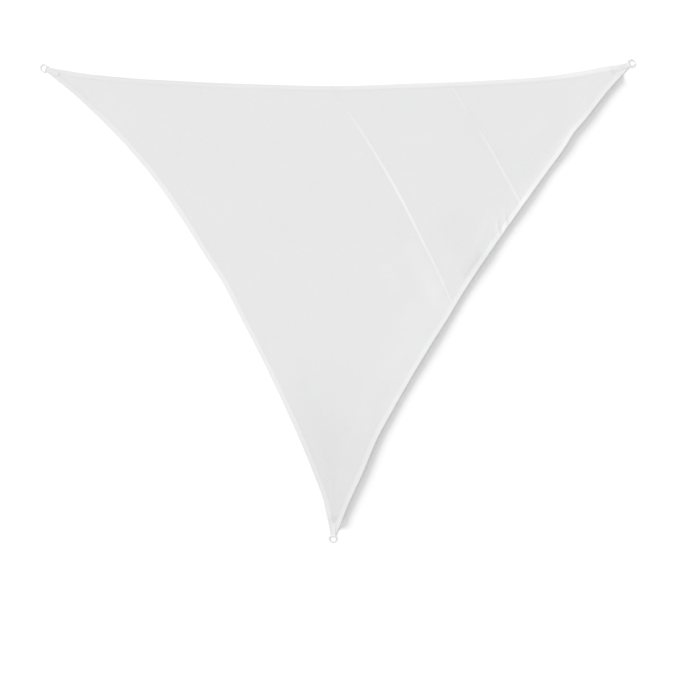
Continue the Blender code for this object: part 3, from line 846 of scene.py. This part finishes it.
# ---------------------------------------------------------------- objects and meshes
def new_object(name, data):
    """An object in the scene."""
    made = bpy.data.objects.new(name, data)
    bpy.context.scene.collection.objects.link(made)
    return made


def new_piece(name, mesh, materials):
    """A finished piece of the sail, which stays with its body."""
    piece = new_object(name, mesh)
    mesh.materials.clear()
    for material in materials:
        mesh.materials.append(material)
    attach(piece, "root")
    return piece


def mesh_of(name, points, faces):
    """A smooth mesh."""
    mesh = bpy.data.meshes.new(name)
    mesh.from_pydata(points, [], faces)
    mesh.update()
    mesh.shade_smooth()
    return mesh


def closed_sheet(name, flat, faces, upper, under):
    """A thin closed solid: an upper face, an under face, and a rim round them."""
    used, faces = np.unique(faces, return_inverse=True)
    faces = faces.reshape(-1, 3)
    low = np.column_stack([flat[used], under[used]])
    high = np.column_stack([flat[used], upper[used]])
    count = len(used)
    edges = np.concatenate([faces[:, [0, 1]], faces[:, [1, 2]], faces[:, [2, 0]]])
    inner = np.isin(edges[:, 0] * count + edges[:, 1], edges[:, 1] * count + edges[:, 0])
    first, last = edges[~inner].T
    rim = np.stack([first, last, last + count, first + count], axis=1)
    return mesh_of(
        name,
        np.concatenate([low, high]).tolist(),
        faces[:, ::-1].tolist() + (faces + count).tolist() + rim.tolist(),
    ), used


def give_number(mesh, name, values):
    """A number at each point of the mesh, for its material."""
    attribute = mesh.attributes.new(name, "FLOAT", "POINT")
    attribute.data.foreach_set("value", np.asarray(values, np.float32))


# ---------------------------------------------------------------- materials
def feed(tree, node, inputs):
    """Gives a node its inputs, as values or as other nodes' outputs."""
    for name, value in inputs.items():
        if isinstance(value, bpy.types.NodeSocket):
            tree.links.new(value, node.inputs[name])
        else:
            node.inputs[name].default_value = value


def put(tree, kind, inputs=(), **settings):
    """A node with its settings and its inputs."""
    made = tree.nodes.new(kind)
    for name, value in settings.items():
        setattr(made, name, value)
    feed(tree, made, dict(inputs))
    return made


def maths(tree, operation, first, second=0.0):
    """The result of one sum on two numbers."""
    return put(tree, "ShaderNodeMath", {0: first, 1: second}, operation=operation).outputs[0]


def new_material(name, roughness, metallic=0.0):
    """A material with its shader, and the piece's own coordinates."""
    material = bpy.data.materials.new(name)
    material.use_nodes = True
    tree = material.node_tree
    shader = tree.nodes["Principled BSDF"]
    feed(tree, shader, {"Roughness": roughness, "Metallic": metallic})
    place = put(tree, "ShaderNodeTexCoord").outputs["Object"]
    return material, tree, shader, place


def scaled(tree, value, by, plus):
    """A value times a number, plus another."""
    return put(tree, "ShaderNodeMath", {0: value, 1: by, 2: plus}, operation="MULTIPLY_ADD").outputs[0]


def noise(tree, place, scale, detail, roughness=0.5):
    """Cloudy noise at this scale, about 0 to 1."""
    inputs = {"Vector": place, "Scale": scale, "Detail": detail, "Roughness": roughness}
    return put(tree, "ShaderNodeTexNoise", inputs).outputs[0]


def colour_mix(tree, share, first, second, blend="MIX"):
    """Two colours mixed by a share."""
    inputs = {0: share, 6: first, 7: second}
    return put(tree, "ShaderNodeMix", inputs, data_type="RGBA", blend_type=blend).outputs[2]


def varied(tree, share, colour, darkest):
    """A colour that varies with a share, from a darker one up to itself."""
    return colour_mix(tree, share, (*(part * darkest for part in colour), 1), (*colour, 1))


def bump(tree, height, distance, strength=1.0, under=None):
    """A bump of this depth, over another one."""
    inputs = {"Height": height, "Distance": distance, "Strength": strength}
    if under is not None:
        inputs["Normal"] = under
    return put(tree, "ShaderNodeBump", inputs).outputs["Normal"]


def woven_cloth(cloth):
    """White woven polyester: plain weave, uneven yarns and a faint sheen."""
    material, tree, shader, place = new_material("woven_polyester", 0.8)
    turn = math.atan2(ROLL[1], ROLL[0])
    run = put(tree, "ShaderNodeMapping", {"Vector": place, "Rotation": (0, 0, -turn)}).outputs[0]
    axes = put(tree, "ShaderNodeSeparateXYZ", {0: run})
    wave = math.pi / cloth.yarn_pitch
    warp = maths(tree, "SINE", maths(tree, "MULTIPLY", axes.outputs["X"], wave))
    weft = maths(tree, "SINE", maths(tree, "MULTIPLY", axes.outputs["Y"], wave))
    weave = maths(tree, "MULTIPLY", warp, weft)
    slubs = []
    for scale in ((1.2, 420, 1), (380, 1.0, 1)):
        stretched = put(tree, "ShaderNodeMapping", {"Vector": run, "Scale": scale}).outputs[0]
        slubs.append(noise(tree, stretched, 1.0, 2.0))
    yarns = maths(tree, "ADD", slubs[0], slubs[1])
    cloud, fuzz = noise(tree, place, 3.2, 3.0, 0.55), noise(tree, place, 900.0, 2.0)
    # the layers' whiteness, with painted sheen along the hems
    whiteness = put(tree, "ShaderNodeAttribute", attribute_name="whiteness").outputs["Fac"]
    tone = colour_mix(tree, whiteness, (*cloth.colour, 1), (*cloth.layered_colour, 1))
    # painted shade, and painted highlight where below zero, taken off the cloth's tone
    greying = put(tree, "ShaderNodeAttribute", attribute_name="greying").outputs["Fac"]
    cloudy = scaled(tree, cloud, 0.035, scaled(tree, yarns, 0.03, 0.955))
    level = maths(tree, "SUBTRACT", cloudy, greying)
    grey = put(tree, "ShaderNodeCombineColor", {0: level, 1: level, 2: level}).outputs[0]
    rows = bump(tree, yarns, 0.00012)
    crossed = bump(tree, weave, 0.00010, under=rows)
    looks = {
        "Base Color": colour_mix(tree, 1.0, tone, grey, "MULTIPLY"),
        "Roughness": scaled(tree, fuzz, 0.16, 0.70),
        "Normal": bump(tree, fuzz, 0.00003, under=crossed),
        "Sheen Weight": 0.12,
        "Sheen Roughness": 0.45,
        "Specular IOR Level": 0.30,
    }
    feed(tree, shader, looks)
    return material


def sewing_thread(sewing):
    """White twisted polyester thread."""
    material, tree, shader, place = new_material("sewing_thread", 0.5)
    fibre = noise(tree, place, 2200.0, 2.0)
    colour, relief = varied(tree, fibre, sewing.colour, 0.86), bump(tree, fibre, 0.00010)
    feed(tree, shader, {"Base Color": colour, "Normal": relief, "Sheen Weight": 0.2})
    return material


def woven_webbing(webbing):
    """Stiff white webbing: its ribs are modelled, and the cross yarns follow its own run."""
    material, tree, shader, _ = new_material("woven_webbing", 0.7)
    run = put(tree, "ShaderNodeUVMap", uv_map="run").outputs[0]
    axes = put(tree, "ShaderNodeSeparateXYZ", {0: run})
    yarn_pitch = 0.0011
    wave = 2 * math.pi / yarn_pitch
    pick = maths(tree, "SINE", maths(tree, "MULTIPLY", axes.outputs["X"], wave))
    end = maths(tree, "SINE", maths(tree, "MULTIPLY", axes.outputs["Y"], wave))
    weave = maths(tree, "MULTIPLY", pick, end)
    fibre, soil = noise(tree, run, 2600.0, 3.0), noise(tree, run, 60.0, 3.0)
    threads, worn = varied(tree, fibre, webbing.colour, 0.92), varied(tree, soil, (1, 1, 1), 0.96)
    crossed = bump(tree, weave, 0.00014)
    looks = {
        "Base Color": colour_mix(tree, 1.0, threads, worn, "MULTIPLY"),
        "Normal": bump(tree, fibre, 0.00006, under=crossed),
        "Sheen Weight": 0.15,
        "Specular IOR Level": 0.35,
    }
    feed(tree, shader, looks)
    return material


def stainless_steel(rings):
    """Smooth drawn stainless wire with fine scratches and a slightly cloudy polish."""
    material, tree, shader, place = new_material("stainless_steel", 0.22, 1.0)
    cloud, fine = noise(tree, place, 260.0, 3.0), noise(tree, place, 2600.0, 4.0)
    looks = {
        "Base Color": varied(tree, cloud, rings.colour, 0.86),
        "Roughness": scaled(tree, cloud, 0.22, 0.12),
        "Normal": bump(tree, fine, 0.00002),
    }
    feed(tree, shader, looks)
    return material


def pale_floor(stage):
    """A plain, pale, matt floor."""
    material, tree, shader, place = new_material("pale_floor", 0.9)
    speck = noise(tree, place, 2.0, 2.0)
    colour = varied(tree, speck, stage.floor_colour, 0.995)
    feed(tree, shader, {"Base Color": colour, "Specular IOR Level": 0.0})
    return material


# ---------------------------------------------------------------- node trees that repeat and follow
def new_tree(name, sockets):
    """A tree that turns one shape into another, with its named inputs."""
    tree = bpy.data.node_groups.new(name, "GeometryNodeTree")
    tree.interface.new_socket("Geometry", in_out="INPUT", socket_type="NodeSocketGeometry")
    tree.interface.new_socket("Geometry", in_out="OUTPUT", socket_type="NodeSocketGeometry")
    for label, kind in sockets.items():
        tree.interface.new_socket(label, in_out="INPUT", socket_type=kind)
    return tree, put(tree, "NodeGroupInput").outputs, put(tree, "NodeGroupOutput")


def end_tree(tree, shape, material, result):
    """The end of a tree: real, smooth faces in their material."""
    whole = put(tree, "GeometryNodeRealizeInstances", {0: shape}).outputs[0]
    smooth = put(tree, "GeometryNodeSetShadeSmooth", {0: whole}).outputs[0]
    coloured = put(tree, "GeometryNodeSetMaterial", {0: smooth, "Material": material}).outputs[0]
    feed(tree, result, {0: coloured})
    return tree


def stitch_tree():
    """Stitches along lines: a short bent thread at every pitch."""
    sizes = dict.fromkeys(("Pitch", "Stitch length", "Thread", "Rise", "Unevenness"), "NodeSocketFloat")
    sockets = {**sizes, "Seed": "NodeSocketInt", "Material": "NodeSocketMaterial"}
    tree, given, result = new_tree("Stitches", sockets)
    line = put(tree, "GeometryNodeMeshToCurve", {"Mesh": given["Geometry"]}).outputs[0]
    spots = put(tree, "GeometryNodeResampleCurve", {"Curve": line, "Length": given["Pitch"]}, mode="LENGTH").outputs[0]
    half = maths(tree, "MULTIPLY", given["Stitch length"], 0.5)
    back = maths(tree, "MULTIPLY", half, -1.0)
    top = maths(tree, "MULTIPLY", given["Rise"], 2.0)
    knots = {"Start": {"X": back}, "Middle": {"Z": top}, "End": {"X": half}}
    ends = {name: put(tree, "ShaderNodeCombineXYZ", place).outputs[0] for name, place in knots.items()}
    bent = put(tree, "GeometryNodeCurveQuadraticBezier", {"Resolution": 3, **ends}).outputs[0]
    radius = maths(tree, "MULTIPLY", given["Thread"], 0.5)
    section = put(tree, "GeometryNodeCurvePrimitiveCircle", {"Resolution": 5, "Radius": radius}).outputs[0]
    swept = {"Curve": bent, "Profile Curve": section, "Fill Caps": True}
    stitch = put(tree, "GeometryNodeCurveToMesh", swept).outputs[0]
    tangent = put(tree, "GeometryNodeInputTangent").outputs[0]
    axes = {"Primary Axis": tangent, "Secondary Axis": (0, 0, 1)}
    facing = put(tree, "FunctionNodeAxesToRotation", axes, primary_axis="X", secondary_axis="Z").outputs[0]
    less = maths(tree, "MULTIPLY", given["Unevenness"], -1.0)
    limits = {2: less, 3: given["Unevenness"], "Seed": given["Seed"]}
    slip = put(tree, "FunctionNodeRandomValue", limits, data_type="FLOAT").outputs[1]
    wobble = put(tree, "ShaderNodeCombineXYZ", {"Z": slip}).outputs[0]
    uneven = put(tree, "FunctionNodeRotateRotation", {0: facing, 1: wobble}, rotation_space="LOCAL").outputs[0]
    at = {"Points": spots, "Instance": stitch, "Rotation": uneven}
    placed = put(tree, "GeometryNodeInstanceOnPoints", at).outputs[0]
    return end_tree(tree, placed, given["Material"], result)


def wire_tree():
    """Round wire along a line."""
    sockets = {"Wire": "NodeSocketFloat", "Sides": "NodeSocketInt", "Material": "NodeSocketMaterial"}
    tree, given, result = new_tree("Round wire", sockets)
    line = put(tree, "GeometryNodeMeshToCurve", {"Mesh": given["Geometry"]}).outputs[0]
    around = {"Resolution": given["Sides"], "Radius": maths(tree, "MULTIPLY", given["Wire"], 0.5)}
    section = put(tree, "GeometryNodeCurvePrimitiveCircle", around).outputs[0]
    wire = put(tree, "GeometryNodeCurveToMesh", {"Curve": line, "Profile Curve": section}).outputs[0]
    return end_tree(tree, wire, given["Material"], result)


def run_tree(name, lines, tree, values, closed=False):
    """The plain mesh that a tree makes from lines."""
    points, edges = [], []
    for line in lines:
        first = len(points)
        points += [tuple(point) for point in line]
        edges += [(first + n, first + n + 1) for n in range(len(line) - 1)]
        if closed:
            edges.append((len(points) - 1, first))
    guide_mesh = bpy.data.meshes.new(name + "_guide")
    guide_mesh.from_pydata(points, edges, [])
    guide = new_object(name + "_guide", guide_mesh)
    modifier = guide.modifiers.new(tree.name, "NODES")
    modifier.node_group = tree
    sockets = {item.name: item.identifier for item in tree.interface.items_tree if item.in_out == "INPUT"}
    for label, value in values.items():
        modifier[sockets[label]] = value
    seen = guide.evaluated_get(bpy.context.evaluated_depsgraph_get())
    mesh = bpy.data.meshes.new_from_object(seen)
    mesh.name = name
    bpy.data.objects.remove(guide)
    bpy.data.meshes.remove(guide_mesh)
    return mesh


def material_named(name, make, settings):
    """A material, made the first time it is asked for."""
    return bpy.data.materials.get(name) or make(settings)


def tree_named(name, make):
    """A node tree, made the first time it is asked for."""
    return bpy.data.node_groups.get(name) or make()


# ---------------------------------------------------------------- the pieces
class SAIL_OT_panels(bpy.types.Operator):
    """Make the three cloth panels with their hems, laps, folds and puckers"""

    bl_idname = "object.sail_panels"
    bl_label = "Cloth Panels"

    def execute(self, context):
        cloth, webbing = context.scene.sail_cloth, context.scene.sail_webbing
        material = material_named("woven_polyester", woven_cloth, cloth)
        flat, faces = cut_plan()
        plan, middles = Survey(flat), Survey(flat[faces].mean(axis=1))
        whiteness, greying = layers_and_sheen_at(plan, cloth), painted_shade_and_highlight_at(plan)
        for panel, (node, facts) in enumerate(PANELS.items()):
            own = panel_faces(middles, faces, panel)
            upper, under = panel_heights(plan, panel, cloth, webbing)
            mesh, used = closed_sheet(facts["piece"], flat, own, upper, under)
            for label, values in (("whiteness", whiteness), ("greying", greying)):
                give_number(mesh, label, np.tile(values[used], 2))
            piece = new_piece(facts["piece"], mesh, [material])
            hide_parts(node)
            declare_sheet(flat, own)
        return {"FINISHED"}


def layers_and_sheen_at(plan, cloth):
    """How white the cloth looks from its layers, with painted sheen along the hems: 0 in the open, up to 1 at hems and
    seams.
    """
    layered = []
    for name, rows in HEM_WHITENESS_AND_SHEEN.items():
        outer, inner = (np.interp(plan.along[name], list(rows), edge) for edge in zip(*rows.values()))
        inside = np.abs(plan.inside[name])
        share = np.clip(inside / cloth.hem_width, 0, 1)
        hem = 1 - eased((inside - cloth.hem_width + STEP_DOWN) / STEP_DOWN)
        layered.append(hem * (outer * (1 - share) + inner * share))
    for row, (distance, along) in zip(SEAM_WHITENESS, plan.seams):
        lap = 1 - eased((np.abs(distance) - LAP / 2) / STEP_DOWN)
        layered.append(lap * np.interp(along, list(row), list(row.values())))
    return np.max(layered, axis=0)


def painted_shade_and_highlight_at(plan):
    """By what share the cloth's colour is darkened by painted shade, or lightened by painted highlight where below
    zero: in patches, and on the slant side's curled edge.
    """
    patches = sum(grey * ridge(plan.points, start, end, reach) for start, end, grey, reach in PAINTED_SHADE_AND_HIGHLIGHT)
    lit = np.sqrt(np.clip(1 - np.abs(plan.inside["slant"]) / CURL_WIDTH, 0, 1))
    return patches + CURL_PAINTED_SHADE * curled(plan) * lit


def declare_sheet(flat, faces):
    """Surveys where the panel's cut points lie; nothing further is done with the survey."""
    survey = Survey(flat[np.unique(faces)])


def cloth_height(points, cloth, webbing, face):
    """The height of the upper or under face of the cloth that shows there."""
    plan = Survey(points)
    lap = -LAP / 2 if face == "upper" else LAP / 2
    panel = sum((distance > lap).astype(int) for distance, _ in plan.seams)
    heights = [panel_heights(plan, n, cloth, webbing)[0 if face == "upper" else 1] for n in range(len(PANELS))]
    return np.choose(panel, heights)


def clear_of_tabs(plan):
    """Which points aren't under a corner tab."""
    clear = np.ones(len(plan.points), bool)
    for place in plan.corners.values():
        beside = np.abs(place["across"]) > TAB_WIDTH / 2 + TAB_BESIDE
        clear &= beside | (place["behind"] > LEG_LENGTH + TAB_PAST)
    return clear


def hem_row(name, inside):
    """The stretches of one row of stitches along a side."""
    line = shifted(SIDE_CURVES[name], inside)
    plan = Survey(line)
    slack = 0.0003  # where two hems meet, a row ends at the other hem's row
    keep = within(OUTLINE, line) & clear_of_tabs(plan) & (plan.edge > inside - slack)
    return stretches(line, keep)


def seam_row(seam, across):
    """The stretches of one row of stitches along a seam, between the hems."""
    line = shifted(SEAM_CURVES[seam], -across)
    plan = Survey(line)
    return stretches(line, within(OUTLINE, line) & (plan.edge > HEM_CLEAR))


class SAIL_OT_sewing(bpy.types.Operator):
    """Sew the hems, the seams and the tabs"""

    bl_idname = "object.sail_sewing"
    bl_label = "Sewing"

    def execute(self, context):
        scene = context.scene
        cloth, webbing = scene.sail_cloth, scene.sail_webbing
        jobs = {f"sewing_{name}_hem": [line for inside in HEM_ROWS for line in hem_row(name, inside)] for name in SIDES}
        for seam, label in enumerate(("first", "second")):
            jobs[f"sewing_{label}_seam"] = [line for across in SEAM_ROWS for line in seam_row(seam, across)]
        sunk = 0.12  # how far the thread's middle is off the cloth, as a share of the thread
        for seed, (name, rows) in enumerate(jobs.items()):
            for face, way in (("upper", 1), ("under", -1)):
                lifted = []
                for row in rows:
                    height = cloth_height(row, cloth, webbing, face)
                    lifted.append(np.column_stack([row, height + way * sunk * scene.sail_sewing.thread]))
                sew(scene, f"{name}_{face}", lifted, seed, way)
        tab_seed = 11
        for name in CORNERS:
            for face, way in (("upper", 1), ("under", -1)):
                sew(scene, f"sewing_{name}_tab_{face}", tab_rows(name, webbing, face), tab_seed, way)
        return {"FINISHED"}


def sew(scene, name, lines, seed, way):
    """One piece of sewing along its lines."""
    sewing = scene.sail_sewing
    material = material_named("sewing_thread", sewing_thread, sewing)
    values = {
        "Pitch": sewing.pitch,
        "Stitch length": sewing.stitch_length,
        "Thread": sewing.thread,
        "Rise": way * sewing.thread * 0.45,
        "Unevenness": 0.06,
        "Seed": seed,
        "Material": material,
    }
    mesh = run_tree(name, lines, tree_named("Stitches", stitch_tree), values)
    return new_piece(name, mesh, [material])


# ---------------------------------------------------------------- corner tabs and rings
def corner_matrix(name):
    """Places what is made at the origin, pointing along +X, at a corner."""
    corner = CORNERS[name]
    place = Matrix.Translation((corner["x"], corner["y"], 0))
    return place @ Matrix.Rotation(math.radians(corner["points_to"]), 4, "Z")


def tab_heights(cloth, webbing):
    """The middle heights of the two legs of a tab."""
    half = webbing.thickness / 2
    return half, webbing.thickness + 2 * WEBBING_GAP + cloth.hem_thickness + half


def tab_path(ahead, cloth, webbing, rings):
    """The middle of the webbing seen from the side: under the cloth, round the bar, over the cloth."""
    half = webbing.thickness / 2
    bend = rings.wire / 2 + WEBBING_GAP + half
    lower, upper = tab_heights(cloth, webbing)
    bar_height = lower + bend
    knots = [(x, lower) for x in np.linspace(-LEG_LENGTH, 0, 49)]
    for angle in range(-90, 91, 9):
        arc = turned(angle) * bend
        knots.append((ahead + arc[0], bar_height + arc[1]))
    for share in np.linspace(0, 1, 15)[1:]:
        down = eased(share)
        knots.append((ahead - TAB_RUN_DOWN * share, (bar_height + bend) * (1 - down) + upper * down))
    knots += [(x, upper) for x in np.linspace(ahead - TAB_RUN_DOWN, -LEG_LENGTH, 44)[1:]]
    return resampled(np.array(knots), 0.0013)


def webbing_section(webbing):
    """The webbing's cut end: ribs on both faces and rounded edges, as points all round it."""
    half_width, half = webbing.width / 2, webbing.thickness / 2
    across = np.linspace(-1, 1, 4 * webbing.ribs + 1)
    ribs = np.abs(np.sin(np.pi * webbing.ribs * (across + 1) / 2))
    flat, rounded, least = 0.95, 0.05, 0.3  # shares of the half width, and of the height at its very edge
    edge = np.sqrt(np.clip(1 - ((np.abs(across) - flat) / rounded).clip(0, 1) ** 2, 0, 1))
    tall = (half - webbing.rib_height + webbing.rib_height * ribs) * np.maximum(edge, least)
    top = np.column_stack([across * half_width, tall])
    bottom = np.column_stack([across[::-1] * half_width, -tall[::-1]])
    return np.concatenate([top, bottom])


def webbing_mesh(name, ahead, cloth, webbing, rings):
    """The webbing of a tab, swept along its path, with its run as a UV map in metres."""
    path, section = tab_path(ahead, cloth, webbing, rings), webbing_section(webbing)
    tangent = np.gradient(path, axis=0)
    tangent /= np.linalg.norm(tangent, axis=1)[:, None]
    normal = np.stack([-tangent[:, 1], tangent[:, 0]], axis=1)
    count, around = len(path), len(section)
    places = path[:, None, :] + normal[:, None, :] * section[None, :, 1, None]
    points = np.empty((count, around, 3))
    points[:, :, 0], points[:, :, 2] = places[:, :, 0], places[:, :, 1]
    points[:, :, 1] = section[:, 0]
    row, column = np.mgrid[0 : count - 1, 0:around]
    here, beside = row * around + column, row * around + (column + 1) % around
    quads = np.stack([here, beside, beside + around, here + around], axis=-1).reshape(-1, 4)
    last = (count - 1) * around
    ends = [list(range(around))[::-1], [last + n for n in range(around)]]
    mesh = mesh_of(name, points.reshape(-1, 3).tolist(), quads.tolist() + ends)
    run = np.repeat(runs(path), around)
    side = np.tile(section[:, 0], count)
    corner = np.empty(len(mesh.loops), np.int32)
    mesh.loops.foreach_get("vertex_index", corner)
    uv = mesh.uv_layers.new(name="run")
    uv.data.foreach_set("uv", np.column_stack([run[corner], side[corner]]).astype(np.float32).ravel())
    return mesh


def tab_rows(name, webbing, face):
    """The box of stitches with a cross in it, on one leg of a tab."""
    cloth = bpy.context.scene.sail_cloth
    near, far = -0.0105, 0.004 - LEG_LENGTH  # where the box starts and ends along the leg
    side = webbing.width / 2 - 0.0035
    pressed_in = 0.0002  # how far the under rows are drawn into the webbing
    lower, upper = tab_heights(cloth, webbing)
    half = webbing.thickness / 2
    height = upper + half if face == "upper" else lower - half + pressed_in
    box = [(near, -side), (near, side), (far, side), (far, -side)]
    runs_of_stitches = [(box[n], box[(n + 1) % 4]) for n in range(4)] + [(box[0], box[2]), (box[1], box[3])]
    place = corner_matrix(name)
    lines = [resampled(np.array(ends), 0.002) for ends in runs_of_stitches]
    return [[place @ Vector((x, y, height)) for x, y in line] for line in lines]


class SAIL_OT_tabs(bpy.types.Operator):
    """Make the webbing tabs at the corners"""

    bl_idname = "object.sail_tabs"
    bl_label = "Corner Tabs"

    def execute(self, context):
        scene = context.scene
        settings = scene.sail_cloth, scene.sail_webbing, scene.sail_rings
        material = material_named("woven_webbing", woven_webbing, scene.sail_webbing)
        for name, corner in CORNERS.items():
            mesh = webbing_mesh(f"{name}_tab_webbing", corner["ahead"], *settings)
            mesh.transform(corner_matrix(name))
            piece = new_piece(f"{name}_tab_webbing", mesh, [material])
            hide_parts(f"tab_{name}")
        return {"FINISHED"}


def ring_line(rings):
    """The middle of a ring's wire, from its bar at x = 0 round the bow, in its own plane."""
    half = (rings.inner_width + rings.wire) / 2
    deep = rings.outer_depth - rings.wire
    bow_middle = deep - half
    line = [np.array([bow_middle, 0]) + half * turned(angle) for angle in range(-90, 91, 4)]
    for centre, first in (((rings.bend, half - rings.bend), 90), ((rings.bend, rings.bend - half), 180)):
        line += [np.array(centre) + rings.bend * turned(angle) for angle in range(first, first + 91, 9)]
    return np.array(line)


class SAIL_OT_rings(bpy.types.Operator):
    """Make the steel D-rings at the corners"""

    bl_idname = "object.sail_rings"
    bl_label = "Corner Rings"

    def execute(self, context):
        rings, webbing = context.scene.sail_rings, context.scene.sail_webbing
        material = material_named("stainless_steel", stainless_steel, rings)
        bar_height = webbing.thickness + WEBBING_GAP + rings.wire / 2
        reach = rings.outer_depth - rings.wire
        tilt = Matrix.Rotation(math.asin((bar_height - rings.wire / 2) / reach), 4, "Y")
        for name, corner in CORNERS.items():
            shift = Matrix.Translation((corner["ahead"], corner["slid"], bar_height))
            place = corner_matrix(name) @ shift @ tilt
            line = [place @ Vector((x, y, 0)) for x, y in ring_line(rings)]
            values = {"Wire": rings.wire, "Sides": 24, "Material": material}
            mesh = run_tree(f"{name}_ring_wire", [line], tree_named("Round wire", wire_tree), values, closed=True)
            piece = new_piece(f"{name}_ring_wire", mesh, [material])
            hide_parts(f"ring_{name}")
        return {"FINISHED"}


class SAIL_OT_stage(bpy.types.Operator):
    """Make the pale floor, the soft light and the camera straight above"""

    bl_idname = "object.sail_stage"
    bl_label = "Floor, Light and Camera"

    def execute(self, context):
        stage = context.scene.sail_stage
        make_floor(stage)
        make_light(context.scene, stage)
        make_camera(context.scene, stage)
        return {"FINISHED"}


def make_floor(stage):
    """A round floor, far wider than the sail."""
    rim = [stage.floor_radius * turned(angle) for angle in range(0, 360, 5)]
    mesh = mesh_of("floor", [(x, y, -FLOOR_BELOW) for x, y in rim], [list(range(len(rim)))])
    mesh.materials.append(material_named("pale_floor", pale_floor, stage))
    new_object("floor", mesh)


def make_sun(name, strength, height, softness):
    """A soft, distant light that comes in over the sail's long side."""
    sun = bpy.data.lights.new(name, "SUN")
    sun.energy, sun.angle = strength, softness
    lamp = new_object(name, sun)
    level = math.cos(height)
    travels = Vector((LIGHT_GOES[0] * level, LIGHT_GOES[1] * level, -math.sin(height)))
    lamp.rotation_mode = "QUATERNION"
    lamp.rotation_quaternion = travels.to_track_quat("-Z", "Y")
    return lamp


def make_light(scene, stage):
    """A low light that throws the sail's shadow on the floor, a key on the sail, and an even fill."""
    floor = bpy.data.objects["floor"]
    rake = make_sun("rake", stage.rake, stage.rake_height, stage.rake_softness)
    key = make_sun("key", stage.key, stage.key_height, stage.key_softness)
    for lamp, state in ((rake, "INCLUDE"), (key, "EXCLUDE")):
        lit = bpy.data.collections.new(lamp.name + "_receivers")
        lit.objects.link(floor)
        lamp.light_linking.receiver_collection = lit
        lit.collection_objects[0].light_linking.link_state = state
    # The shadows of the thin tabs are left out, as they don't show in the view.
    clear = bpy.data.collections.new("rake_blockers")
    for tab in [piece for piece in bpy.data.objects if piece.name.endswith("_tab_webbing")]:
        clear.objects.link(tab)
        clear.collection_objects[-1].light_linking.link_state = "EXCLUDE"
    rake.light_linking.blocker_collection = clear
    world = bpy.data.worlds.new("soft_studio")
    world.use_nodes = True
    sky = world.node_tree
    feed(sky, sky.nodes["Background"], {"Color": (1, 1, 1, 1), "Strength": stage.fill})
    scene.world = world
    scene.view_settings.view_transform = "Standard"


def make_camera(scene, stage):
    """A camera that looks straight down, with +Y up in its view."""
    lens = bpy.data.cameras.new("camera")
    lens.lens, lens.sensor_width, lens.clip_end = stage.lens, 36, 200
    camera = new_object("camera", lens)
    camera.location = (*PHOTO_MIDDLE, stage.view_width * stage.lens / lens.sensor_width)
    scene.camera = camera


# ---------------------------------------------------------------- the sidebar, and running it all
GROUPS = {
    "sail_cloth": SailCloth,
    "sail_sewing": SailSewing,
    "sail_webbing": SailWebbing,
    "sail_rings": SailRings,
    "sail_stage": SailStage,
}
STEPS = {
    "sail_panels": SAIL_OT_panels,
    "sail_sewing": SAIL_OT_sewing,
    "sail_tabs": SAIL_OT_tabs,
    "sail_rings": SAIL_OT_rings,
    "sail_stage": SAIL_OT_stage,
}


class SAIL_PT_panel(bpy.types.Panel):
    """The sail's sizes and its steps"""

    bl_idname = "SAIL_PT_panel"
    bl_label = "Shade Sail"
    bl_space_type = "VIEW_3D"
    bl_region_type = "UI"
    bl_category = "Shade Sail"

    def draw(self, context):
        for step in STEPS.values():
            self.layout.operator(step.bl_idname)
        for name in GROUPS:
            settings = getattr(context.scene, name)
            box = self.layout.box()
            box.label(text=settings.bl_rna.description)
            for key in settings.bl_rna.properties.keys():
                if key not in ("rna_type", "name"):
                    box.prop(settings, key)


def register():
    for kind in (*GROUPS.values(), *STEPS.values(), SAIL_PT_panel):
        bpy.utils.register_class(kind)
    for name, group in GROUPS.items():
        setattr(bpy.types.Scene, name, PointerProperty(type=group))


def unregister():
    for name in GROUPS:
        delattr(bpy.types.Scene, name)
    for kind in (SAIL_PT_panel, *reversed(STEPS.values()), *reversed(GROUPS.values())):
        bpy.utils.unregister_class(kind)


def main():
    register()
    for step in STEPS:
        getattr(bpy.ops.object, step)()


if __name__ == "__main__":
    main()
